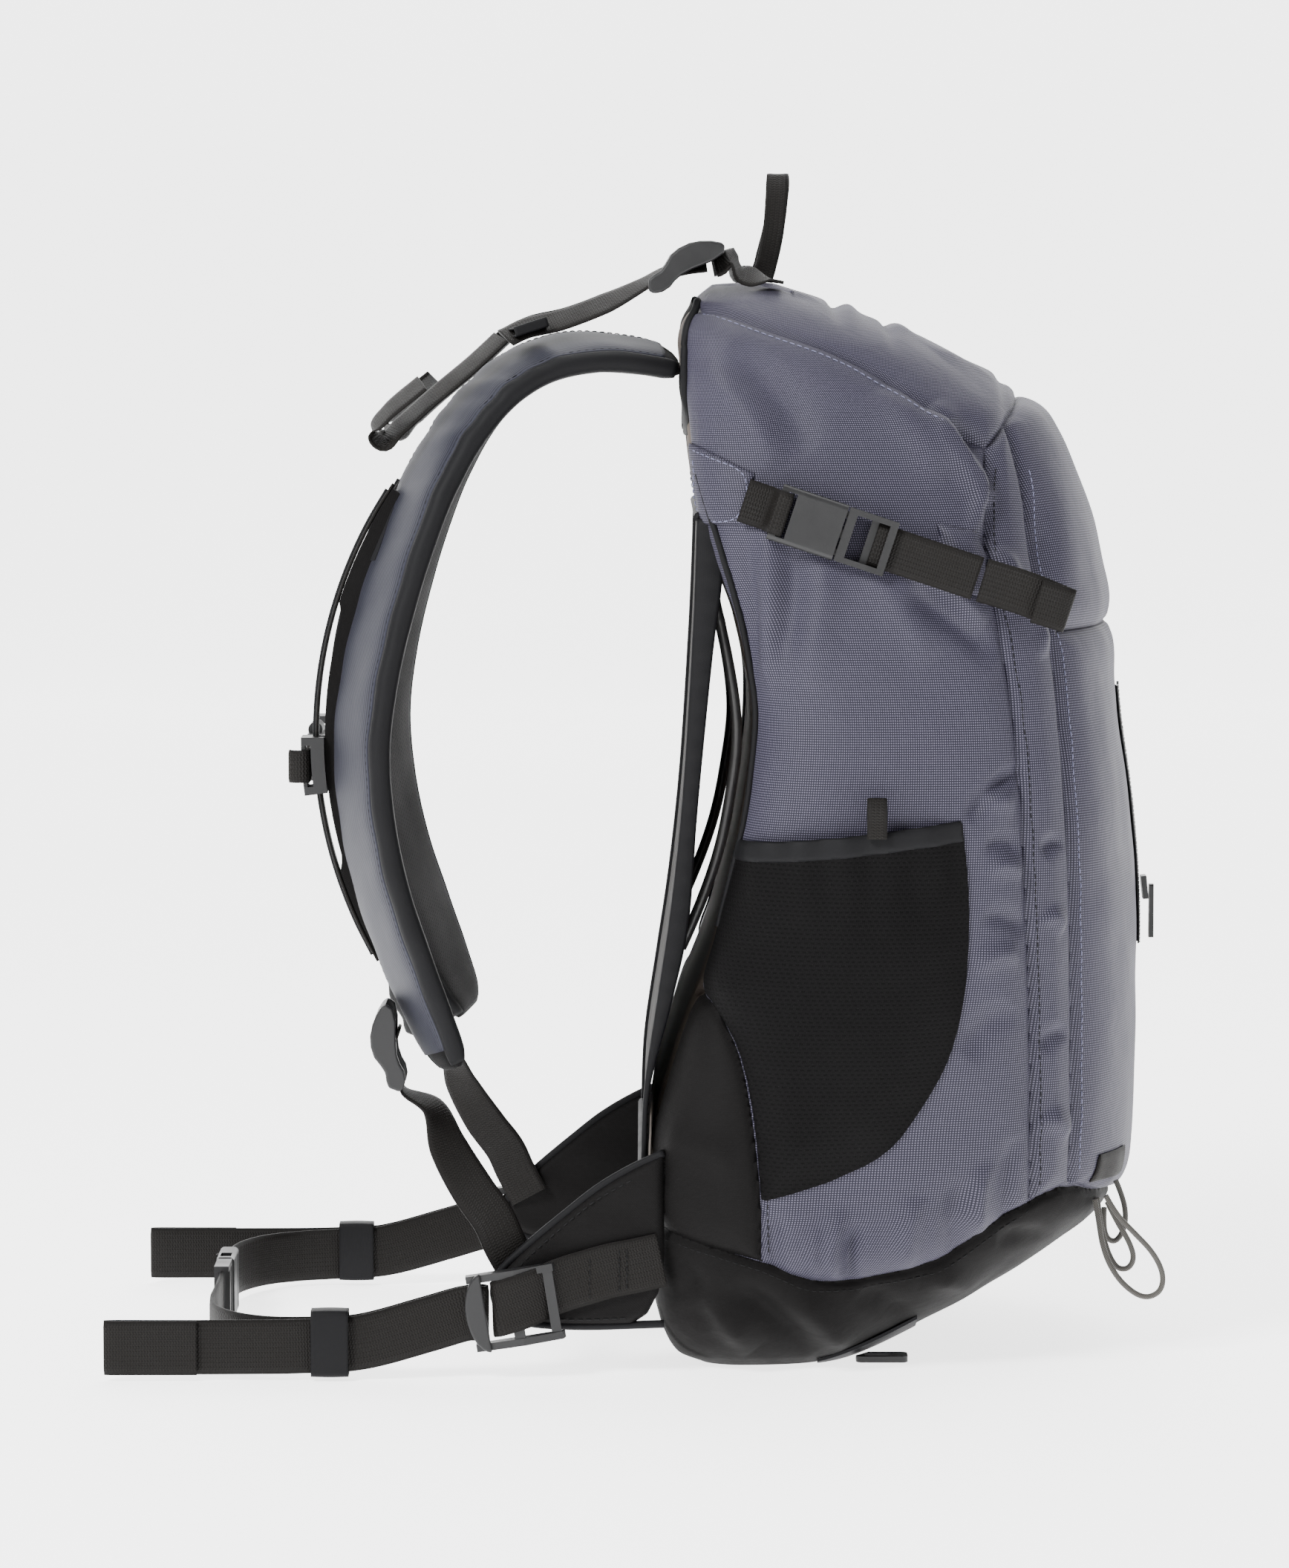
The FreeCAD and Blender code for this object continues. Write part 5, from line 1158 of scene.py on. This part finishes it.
for s, side_name in SIDES:
    m = np.array([1.0, s, 1.0])
    # compression strap: short sewn end, adjusting part, free tail with a folded end
    line = [comp_point(-24, -0.6), comp_point(-17, -0.2), comp_point(-12.5, 0.6), comp_point(-10.8, 3.4),
            comp_point(-9.6, 7.8), comp_point(-8.6, 9.6), comp_point(-6.2, 10.2), comp_point(-3.9, 9.4),
            comp_point(-3.5, 6.5),
            comp_point(-3.5, 3.4)]
    web("compression_short_webbing_" + side_name, [p * m for p in line], comp_wall * m, 20, WEB[20],
        replaces=once(s, "compression_short_webs"), step=0.8)
    line = [comp_point(37.5, 3.6), comp_point(42, 4.4), comp_point(48, 4.6), comp_point(62, 4.3), comp_point(74, 4.5),
            comp_point(comp_run, 4.5)]
    web("compression_webbing_" + side_name, [p * m for p in line], comp_wall * m, 20, WEB[20], crown=0.25,
        replaces=once(s, "compression_webs"))
    start = np.array(COMP_TAIL)
    stop = np.array((120.0, -139.6, 352.4))
    sag = start + (stop - start) * 0.5 + np.array((0, -2.6, 1.0))
    fold = [stop + np.array((-14.0, -2.2, 4.4)), stop + np.array((-2.0, -2.4, 0.7)),
            stop + np.array((0.6, -1.2, -0.2)), stop]
    web("compression_tail_webbing_" + side_name, [p * m for p in fold + [sag, start]], (0.33, 0, 1), 20, WEB[20],
        "comp_tail_" + side_name, replaces=["compression_tail_" + side_name], step=0.8)
    # load lifter: anchor, strap to the keeper, folded tail
    y = lifter_y * s
    line = [(-6, y, 499.0), (-12, y, 500.2), (-20, y, 501.6), (-26, y, 503.6)] + [lock_point(20.8, -3.2) * m,
                                                                                lock_point(15.5, -5.6) * m,
                                                                                lock_point(12.5, -5.6) * m]
    web("lifter_anchor_webbing_" + side_name, line, [(0, 1, 0)] * 2 + [(0, 1, 0.5 * s)] * 5, 20, WEB[20],
        replaces=once(s, "lifter_anchors"))
    line = [lock_point(9.0, -3.6), lock_point(0, -2.2), lock_point(-11.0, -2.0), lock_point(-21.5, -4.0)]
    line += [np.array(p) for p in ((-88, lifter_y - 2.6, 489.5), (-108, lifter_y - 5.2, 482.0),
                                   (-124, lifter_y - 7.8, 478.2), (-134, lifter_y - 10.4, 473.6))]
    web("lifter_webbing_" + side_name, [p * m for p in line], [(0, 1, 0.3 * s)] * 4 + [(0, 1, 0.5 * s)] * 4, 20,
        WEB[20], replaces=once(s, "lifter_webs"))
    tail = [(-136, 473.9), (-150, 461.0), (-168, 446.0), (-182, 433.5), (-190, 426.8)]
    back = [(-191.4, 425.4), (-194.4, 430.2), (-188.5, 438.5), (-172, 452.5)]
    line = [(x, (lifter_y - 10.4 - 2.2 * i) * s, z) for i, (x, z) in enumerate(tail)]
    line += [(x, (lifter_y - 19.2) * s, z + 0.6) for x, z in back[1:]]
    web("lifter_tail_webbing_" + side_name, line, (0, 1, 0.5 * s), 20, WEB[20], "lift_tail_" + side_name,
        replaces=["lifter_tail_" + side_name], step=0.8)
    # lower webbing from the buckle down to the wing
    line = [lower_point(-9.0, -2.6), lower_point(0.0, -1.2), lower_point(11.5, -3.0), lower_point(19.5, -7.0)]
    line += [np.array(p, dtype=float) for p in ((-167, -101, 122), (-160, -104, 104), (-149, -107, 85),
                                                (-139, -110, 71),
                                                (-134, -111, 60), (-127, -109.6, 47))]
    across = [(0, 1, 0)] * 4 + [(0.35, 1, 0.2), (0.85, 0.75, 0.5), (1.0, 0.35, 0.6), (0.9, 0.3, 0.7), (0.7, 0.2, 0.7),
              (0.7, 0.2, 0.7)]
    web("lower_webbing_" + side_name, [p * m for p in line], [np.array(a) * m for a in across], 20, WEB[20],
        replaces=once(s, "lower_webs"), crown=0.2)

web("haul_loop_webbing", [(-15, -16, 499.4), (-14.6, -15.6, 502), (-13, -15, 507.3), (-9.6, -12.5, 524),
                          (-8.4, -9.6, 538),
                          (-8.0, -6.0, 545.6), (-7.6, -2.2, 549), (-7.2, 2.2, 549), (-6.8, 6.0, 545.6),
                          (-7.4, 9.6, 538),
                          (-9.2, 12.5, 524), (-13.6, 15, 507.3), (-14.8, 15.6, 502), (-15, 16, 499.4)],
    [(1, 0, 0)] * 2 + [(1, 0.35, 0)] + [(1, 0, 0)] * 8 + [(1, -0.5, 0)] + [(1, 0, 0)] * 2, 10, WEB[10],
    "haul_loop_body", replaces=["haul_loop"], step=1.0, crown=0.3)

# hip belt: one webbing each side, round the lock's front bar, with its tail folded back at the end
belt_y = -126.0
LAY = 15.6
TAIL = [
    (-274, -5.4, LAY), (-300, -5.6, LAY), (-314.5, -5.5, LAY), (-316.4, -4.5, LAY), (-314.5, -3.5, LAY),
    (-290, -3.3, LAY), (-262, -3.2, LAY), (-226, -3.0, LAY + 0.4), (-200, -2.6, 17.5), (-168, -2.4, 26),
    (-152, -2.0, 30.6), (-148, -2.6, 31), (-145, -3.4, 31), (-142.3, -2.0, 31), (-141.6, 0.0, 31),
    (-142.3, 2.0, 31), (-145, 3.4, 31), (-148, 2.6, 31), (-152, 1.7, 30.6), (-168, 1.8, 26), (-200, 2.0, 17.5),
    (-226, 3.0, LAY + 0.4), (-243, 7.0, LAY), (-257, 17.0, LAY), (-266, 31.0, LAY), (-270.5, 45.0, LAY),
    (-272, 58.0, LAY)]
for s, side_name in SIDES:
    line = [(x, (belt_y + dy) * s, z) for x, dy, z in TAIL]
    if s == 1:
        line += [(-272, -40, LAY), (-272, -10, LAY), (-272, 7.5, LAY)]
    else:
        line += [(-272, 60.5, LAY), (-272.6, 57.2, LAY), (-276.0, 55.0, LAY), (-277.6, 52.0, LAY),
                 (-277.8, 49.0, LAY)]
    web("hip_webbing_" + side_name, line, (0, 0, 1), 25, WEB[25], replaces=["hip_web_" + side_name], step=1.2)
    line = [(-62, -121.4 * s, 54.5), (-74, -122.3 * s, 52), (-86, -122.4 * s, 49.6), (-98, -122.8 * s, 46.2),
            (-106, -123.6 * s, 43.9), (-113, -125.4 * s, 41.6), (-120, -129.2 * s, 38.8), (-127, -131.0 * s, 36.4),
            (-134.5, -130.8 * s, 34.0), (-138.2, -129.2 * s, 32.8), (-138.6, -126.8 * s, 32.7),
            (-135, -125.4 * s, 33.8)]
    web("hip_pad_webbing_" + side_name, line, (0, 0, 1), 25, WEB[25], replaces=once(s, "hip_pad_webs"))
    for k, x in enumerate((-78.0, -81.5, -95.0)):
        pts = [(x, -123.25 * s, 51.4 + (x + 78) * 0.25 + dz) for dz in (-10, -3, 4, 10)]
        stitches("hip_pad_bartack_%d_%s" % (k, side_name), pts, (0, -s, 0), STITCH_DARK, 2.0, 0.7, 0.3,
                 slot_name="webbing")


def pillow(name, poly, y_mid, half, side, material, nodes=(), slot_name="padding", edge=4.5, pitch=1.8, wave=0.5):
    """A closed pad between two cloths, outline in the side view, millimetres."""
    lo = np.min(np.array(poly), axis=0) - 3
    hi = np.max(np.array(poly), axis=0) + 3
    xs = np.arange(lo[0], hi[0], pitch)
    zs = np.arange(lo[1], hi[1], pitch)
    mx, mz = np.meshgrid(xs, zs)
    flat = np.stack([mx.ravel(), np.zeros(mx.size), mz.ravel()], axis=1)
    idx = np.arange(mx.size).reshape(mx.shape)
    cells = np.stack([idx[:-1, :-1], idx[:-1, 1:], idx[1:, 1:], idx[1:, :-1]], axis=2).reshape(-1, 4)
    local = [tuple(c) for c in cells.tolist()]

    def field(p):
        return polygon_field(p[:, 0], p[:, 2], poly)

    flat, _, _, local = trim_to(field, flat, flat.copy(), flat.copy(), local)
    d = np.maximum(field(flat), 0)
    t = half * np.clip(1 - (1 - np.clip(d / edge, 0, 1)) ** 2.4, 0, 1)
    t = t + wave * lumps(flat[:, 0], flat[:, 0] * 0, flat[:, 2], 22.0, 11) * np.clip(d / 6, 0, 1)
    front = flat.copy()
    front[:, 1] = (y_mid - t) * side
    rear = flat.copy()
    rear[:, 1] = (y_mid + t * 0.9) * side
    verts = np.vstack([front, rear])
    count = len(flat)
    border = d <= 1e-6
    remap = np.arange(2 * count)
    remap[count:][border] = np.arange(count)[border]
    faces = local + [tuple(int(remap[i + count]) for i in f)[::-1] for f in local]
    cloth = [(v[0] * MM, v[2] * MM, 0) for v in verts]
    return add_mesh(name, verts, faces, material, cloth, "bag", True, nodes, slot_name)


WING_Y = -116.4
WING = [
    (-61, 103), (-76, 96), (-91, 87), (-105, 76), (-124, 60), (-136, 48), (-139, 40), (-136, 30), (-125, 25),
    (-102, 23), (-61, 24)]
for s, side_name in SIDES:
    smooth_wing = soften(WING + [WING[0]], 2)[:-1]
    wing = pillow("hip_wing_" + side_name, smooth_wing, WING_Y, 4.1, s, BLACK, once(s, "hip_wings"))
    tube("hip_wing_binding_" + side_name, [(x, WING_Y * s, z) for x, z in WING], 1.9, BINDING,
         slot_name="black_cloth")
    for tag, line in (("", [(-76, 91), (-91, 82.5), (-104, 72.5), (-122, 56.5), (-131, 47)]),
                      ("low_", [(-124, 28.5), (-103, 26.6), (-76, 27.4)])):
        stitches("hip_wing_%sstitching_%s" % (tag, side_name), [(x, (WING_Y - 4.0) * s, z) for x, z in line],
                 (0, -s, 0), STITCH_DARK, 2.6, 1.3, 0.3)


def slab(name, outline, low, high, place, material, body="bag", nodes=(), bevel=0.8, slot_name="plastic"):
    """A moulded plate: outline (x, z) in its own frame, from low to high across."""
    n = len(outline)
    verts = [place(x, low, z) for x, z in outline] + [place(x, high, z) for x, z in outline]
    faces = [tuple(range(n)), tuple(range(n, 2 * n))[::-1]]
    faces += [(k, (k + 1) % n, n + (k + 1) % n, n + k)[::-1] for k in range(n)]
    ob = add_mesh(name, verts, faces, material, None, body, False, nodes, slot_name)
    clean = bmesh.new()
    clean.from_mesh(ob.data)
    bmesh.ops.recalc_face_normals(clean, faces=clean.faces)
    clean.to_mesh(ob.data)
    clean.free()
    round_edges(ob, bevel, 3, 25)


SADDLE_TOP = [
    (-19.5, -5.6), (-18.6, -2.4), (-15.5, -1.0), (-12.0, -0.2), (-9.0, 2.2), (-5.5, 5.6), (-1.0, 7.6),
    (4.0, 8.4), (9.0, 8.0), (14.0, 6.6), (18.2, 4.6), (19.5, 2.6)]
SADDLE_LOW = [
    (18.0, -0.6), (12.0, -2.6), (6.0, -3.2), (2.0, -3.6), (-3.0, -4.6), (-7.0, -6.4), (-10.0, -8.6),
    (-14.0, -9.8), (-18.0, -9.4), (-20.0, -7.6)]
SADDLE_ROOF = SADDLE_TOP[4:] + [(17.0, 3.4), (12.0, 5.0), (8.0, 6.0), (4.0, 6.3), (0.0, 5.7), (-4.0, 4.0),
                                (-7.4, 1.6)]

SADDLE_TOE = [(-19.4, -7.6), (-19.0, -3.2), (-16.0, -1.8), (-14.0, -3.2), (-14.6, -7.8), (-17.4, -8.6)]
SADDLE_BAR = [(-4.2, -1.6), (-1.8, -0.4), (0.8, -0.6), (0.6, -2.6), (-3.2, -3.6)]


def saddle_lock(name, place, nodes):
    """A ladder lock: two cheeks with a roof, a toe and a bar between them."""
    half, cheek = 14.0, 3.6
    for tag, low, high in (("near_cheek", -half, -half + cheek), ("far_cheek", half - cheek, half)):
        slab(name + "_" + tag, SADDLE_TOP + SADDLE_LOW, low, high, place, PLASTIC,
             nodes=nodes if tag == "near_cheek" else (),
             bevel=1.1)
    for tag, outline, bevel in (("roof", SADDLE_ROOF, 0.5), ("toe", SADDLE_TOE, 0.8), ("bar", SADDLE_BAR, 0.6)):
        slab(name + "_" + tag, outline, -half + 3.2, half - 3.2, place, PLASTIC, bevel=bevel)


for s, side_name in SIDES:
    up = np.array((-lock_dir[2], 0, lock_dir[0]))
    base = np.array((-51.0, -54.0 * s, 508.0))
    saddle_lock("lifter_lock_" + side_name, lambda x, y, z, base=base, up=up: base + lock_dir * x + up * z
                + np.array((0, y, 0)), once(s, "lifter_locks"))
    up = unit((-38, 0, 4))
    base = np.array((-187.5, -98.0 * s, 151.0))
    saddle_lock("lower_lock_" + side_name, lambda x, y, z, base=base, up=up: base - lower_dir * x + up * z
                + np.array((0, y, 0)), once(s, "lower_locks"))
    turn = np.array((1, 0, 0.16)) / math.hypot(1, 0.16)
    rise = np.array((-turn[2], 0, turn[0]))
    arc_pts = [(8.5 - 10.5 * math.cos(t), 18.6 * math.sin(t)) for t in np.linspace(-1.45, 1.45, 15)]
    plate = [(x - 4.5, z) for x, z in arc_pts]
    slab("hip_lock_plate_" + side_name, plate, -2.0, 1.6, lambda x, y, z, s=s, turn=turn, rise=rise: np.array(
        (-145.0, -130.0 * s, 31.0)) + turn * x + rise * z + np.array((0, y * s, 0)), PLASTIC, bevel=1.0)


def ring_band(name, centre, across, out, run, half_across, half_out, width, material, nodes, corner=1.6):
    """A flat elastic band closed round a webbing."""
    pts = []
    for a, b in ((1, -1), (1, 1), (-1, 1), (-1, -1)):
        base = math.atan2(b, a)
        for k in range(5):
            t = base - math.pi / 4 + (math.pi / 2) * k / 4
            ca = a * (half_across - corner) + corner * math.cos(t)
            cb = b * (half_out - corner) + corner * math.sin(t)
            pts.append(centre + across * ca + out * cb)
    rows = []
    steps = 12
    for i in range(steps + 1):
        q = -width / 2 + width * i / steps
        bulge = 0.25 * math.cos(math.pi * q / width)
        rows.append([p + run * q + unit(p - centre) * bulge for p in pts])
    verts, faces, n = loft(rows, True)
    cloth = [(k * 2.0 * MM, i * width / steps * MM, 0) for i in range(steps + 1) for k in range(n)]
    ob = add_mesh(name, verts, faces, material, cloth, "bag", True, nodes, "elastic")
    thicken(ob, 1.0)


# elastic keepers
for s, side_name in SIDES:
    m = np.array([1.0, s, 1.0])
    ring_band("hip_keeper_" + side_name, np.array((-213.5, (belt_y - 0.4) * s, 17.3)), np.array((0.0, 0, 1)),
              np.array((0.0, s, 0)), np.array((1.0, 0, 0)), 14.2, 5.6, 17.0, BINDING, once(s, "hip_keepers"))
    run = unit(np.array((-134, lifter_y - 10.4, 473.6)) - np.array((-108, lifter_y - 5.2, 482.0))) * m
    across = unit(np.array((0, 1.0, 0)) * m - run * np.dot(np.array((0, 1.0, 0)) * m, run))
    out = unit(np.cross(run, across))
    ring_band("lifter_keeper_" + side_name, np.array((-124, lifter_y - 7.8, 478.2)) * m, across, out, run, 12.2, 2.3,
              16.0,
              BINDING, once(s, "lifter_keepers"), 1.0)
    # small loop that opens the bottle pocket
    q, n = skin_point(34.5, 252, -s, 11.6)
    top = np.array((34.5, q[1], 249.0))
    side = np.array((0, n[1], 0)) / abs(n[1])
    line = [top - side * 0.9 + np.array((0, 0, 1.0)), top - side * 0.9 + np.array((0, 0, 8)),
            top - side * 1.4 + np.array((0, 0, 15)),
            top + np.array((0, 0, 19)), top + side * 1.6 + np.array((0, 0, 15)),
            top + side * 1.2 + np.array((0, 0, 8)),
            top + side * 1.0 + np.array((0, 0, 1.0))]
    web("bottle_pocket_pull_" + side_name, line, (1, 0, 0), 9, WEB[9], replaces=once(s, "pocket_pulls"), step=0.7)

# ------------------------------------------------------------------------------------------------
# sternum webbings
# ------------------------------------------------------------------------------------------------
slider_angle = -3.6
web_r = RAIL_R + 4.9
sx = RAIL_X - web_r * math.cos(math.radians(slider_angle))
sz = RAIL_Z + web_r * math.sin(math.radians(slider_angle))
line = [
    (sx - 8.6, -71, sz), (sx - 8.4, -74.0, sz), (sx - 5.6, -75.6, sz), (sx - 2.4, -75.8, sz),
    (sx - 0.2, -74.4, sz), (sx, -71, sz), (sx, -60, sz), (sx, -46, sz), (sx, -28.5, sz), (sx - 1.2, -25.8, sz),
    (sx - 4.2, -23.4, sz), (sx - 5.6, -21.5, sz), (sx - 5.6, -18, sz)]
web("sternum_webbing_left", line, (0, 0, 1), 15, WEB[15], "sternum_strap", replaces=["sternum_web_left"], step=0.8)
line = [(sx, 75.0, sz), (sx, 66, sz), (sx, 50, sz), (sx, 36, sz), (sx, 24.4, sz)]
web("sternum_webbing_right", line, (0, 0, 1), 15, WEB[15], "sternum_strap", replaces=["sternum_web_right"], step=0.8)

# ------------------------------------------------------------------------------------------------
# zip on the front pocket
# ------------------------------------------------------------------------------------------------
ZIP_LOW, ZIP_HIGH = 187.0, 311.0
TOOTH_SIDES = 8
zip_z = np.arange(ZIP_LOW, ZIP_HIGH, 2.0)
for tag, sign in (("left", -1), ("right", 1)):
    rows, cloth = [], []
    for z in zip_z:
        row = []
        for k in range(5):
            y = sign * (0.9 + 1.9 * k)
            p, n = front_point(y, z, 0.9 + 0.3 * math.cos(k * 0.8))
            row.append((p[0], y, z))
            cloth.append((z * MM, y * MM, 0))
        rows.append(row)
    verts, faces, n = loft(rows, False)
    tape = add_mesh("front_zip_tape_" + tag, verts, faces, BINDING, cloth, "bag", True,
                    ["front_zip"] if sign < 0 else (),
                    "webbing")
    thicken(tape, 0.7)
verts, faces, cloth = [], [], []
for j, z in enumerate(np.arange(ZIP_LOW, ZIP_HIGH, 0.95)):
    p, n = front_point(0.0, z, 1.7)
    y = 0.55 if j % 2 else -0.55
    base = len(verts)
    for dz, w in ((-0.42, 0.55), (0, 1.0), (0.42, 0.55)):
        for k in range(TOOTH_SIDES):
            t = 2 * math.pi * k / TOOTH_SIDES
            verts.append((p[0] + 0.75 * w * math.cos(t), y + 1.25 * w * math.sin(t), z + dz))
            cloth.append((z * MM, k * MM, 0))
    faces += [tuple(base + i for i in f) for f in ring_faces(3, TOOTH_SIDES)]
add_mesh("front_zip_teeth", verts, faces, PLASTIC, cloth, "bag", True, (), "plastic")

# ------------------------------------------------------------------------------------------------
# elastic pole loops
# ------------------------------------------------------------------------------------------------
CORD_POINTS = {
    "pole_loop_1": (0.1168, [(0.1398, -0.065, 0.0735), (0.1416, -0.0654, 0.064), (0.143, -0.066, 0.0535),
                             (0.1465, -0.0665, 0.043), (0.153, -0.067, 0.0335), (0.1625, -0.0676, 0.027),
                             (0.1705, -0.068, 0.03), (0.172, -0.0684, 0.0385), (0.167, -0.069, 0.049),
                             (0.1575, -0.0694, 0.0588), (0.149, -0.0696, 0.0675), (0.1445, -0.0698, 0.076)]),
    "pole_loop_2": (0.0752, [(0.1415, -0.0565, 0.073), (0.1427, -0.0569, 0.063), (0.1448, -0.0573, 0.053),
                             (0.1475, -0.0578, 0.045), (0.1512, -0.0582, 0.0395), (0.1564, -0.0588, 0.0396),
                             (0.159, -0.0594, 0.0452), (0.156, -0.06, 0.0535), (0.1503, -0.0604, 0.0625),
                             (0.1459, -0.0606, 0.0716)]),
    "pole_loop_3": (0.050, [(0.1508, -0.048, 0.0798), (0.154, -0.0482, 0.0725), (0.1558, -0.0486, 0.0635),
                            (0.1546, -0.049, 0.056), (0.1508, -0.0496, 0.0506), (0.1464, -0.0502, 0.0526),
                            (0.1449, -0.0506, 0.06), (0.1453, -0.0508, 0.0674)]),
}
CORD_DIAMETER = 0.0026
for node, (cord_length, points) in CORD_POINTS.items():
    curve = bpy.data.curves.new(node + "_elastic", "CURVE")
    curve.dimensions = "3D"
    curve.bevel_depth = CORD_DIAMETER / 2
    curve.bevel_resolution = 5
    curve.use_fill_caps = True
    curve.resolution_u = 14
    spline = curve.splines.new("NURBS")
    spline.points.add(len(points) - 1)
    for point, co in zip(spline.points, points):
        point.co = (co[0], co[1], co[2], 1.0)
    spline.order_u = 3
    spline.use_endpoint_u = True
    ob = bpy.data.objects.new(node + "_elastic", curve)
    bpy.context.scene.collection.objects.link(ob)
    curve.materials.append(CORD)
    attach(ob, "bag")
    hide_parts(node)

# ------------------------------------------------------------------------------------------------
# CAD pieces that stay, with their own finish
# ------------------------------------------------------------------------------------------------
for node in ("compression_socket_left", "compression_socket_right", "compression_plug_left", "compression_plug_right",
             "sternum_sliders", "sternum_socket", "sternum_plug", "hip_locks", "hip_socket", "hip_plug"):
    dress(node, PLASTIC, 0.55, 3)
for node in ("base_puller", "front_zip_slider", "front_zip_pull"):
    dress(node, PLASTIC, 0.35, 2)
dress("frame_rod", WIRE)
dress("strap_label", LABEL, 0.2, 2)
dress("base_strip", BINDING, 0.3, 2)

# ------------------------------------------------------------------------------------------------
# stage, light and camera
# ------------------------------------------------------------------------------------------------
FLOOR_NEAR, FLOOR_FAR, FLOOR_HALF = -6.0, 4.0, 9.0
SWEEP, WALL_TOP = 1.6, 7.0
me = bpy.data.meshes.new("studio_floor")
rows = [(FLOOR_NEAR, 0.0), (FLOOR_FAR, 0.0)]
for k in range(1, 17):
    t = math.pi / 2 * k / 16
    rows.append((FLOOR_FAR + SWEEP * math.sin(t), SWEEP * (1 - math.cos(t))))
rows.append((FLOOR_FAR + SWEEP, WALL_TOP))
me.from_pydata([(x, y, z) for y, z in rows for x in (-FLOOR_HALF, FLOOR_HALF)], [],
               [(2 * i, 2 * i + 1, 2 * i + 3, 2 * i + 2) for i in range(len(rows) - 1)])
me.polygons.foreach_set("use_smooth", [True] * len(me.polygons))
floor = bpy.data.objects.new("studio_floor", me)
bpy.context.scene.collection.objects.link(floor)
paper = Nodes("studio_paper", rough=0.85, spec=0.15)
vec, _, _, _ = paper.place()
paper_color = paper.mix(paper.noise(vec, 2.0), srgb(238, 238, 238), srgb(243, 243, 243))
paper.finish(paper_color)
paper.link(paper_color, paper.bsdf.inputs["Emission Color"])
paper.bsdf.inputs["Emission Strength"].default_value = 3.0
me.materials.append(paper.mat)


def area_light(name, place, target, size, power):
    data = bpy.data.lights.new(name, "AREA")
    data.shape = "RECTANGLE"
    data.size, data.size_y = size
    data.energy = power
    ob = bpy.data.objects.new(name, data)
    ob.location = place
    ob.rotation_euler = (V(target) - V(place)).to_track_quat("-Z", "Y").to_euler()
    bpy.context.scene.collection.objects.link(ob)


area_light("key_light", (-1.5, -1.7, 2.0), (0, 0, 0.25), (0.8, 0.8), 135)
area_light("fill_light", (2.2, -1.6, 1.1), (0, 0, 0.22), (1.4, 1.6), 14)
area_light("top_light", (0.2, 0.4, 2.4), (0, 0, 0.2), (1.4, 1.2), 45)
area_light("backdrop_light", (0, 2.2, 3.2), (0, 5.4, 1.0), (4.5, 1.5), 60)
world = bpy.data.worlds.new("studio_world")
world.use_nodes = True
world.node_tree.nodes["Background"].inputs[0].default_value = (1, 1, 1, 1)
world.node_tree.nodes["Background"].inputs[1].default_value = 0.25
bpy.context.scene.world = world

AIM = V((-0.070, 0.0, 0.262))
ELEVATION = math.radians(5.0)
DISTANCE = 2.8
camera_data = bpy.data.cameras.new("camera")
camera_data.sensor_fit = "VERTICAL"
camera_data.sensor_height = 36.0
camera_data.lens = 135.6
camera = bpy.data.objects.new("camera", camera_data)
camera.location = AIM + V((0, -math.cos(ELEVATION), math.sin(ELEVATION))) * DISTANCE
camera.rotation_euler = (AIM - camera.location).to_track_quat("-Z", "Y").to_euler()
bpy.context.scene.collection.objects.link(camera)
bpy.context.scene.camera = camera
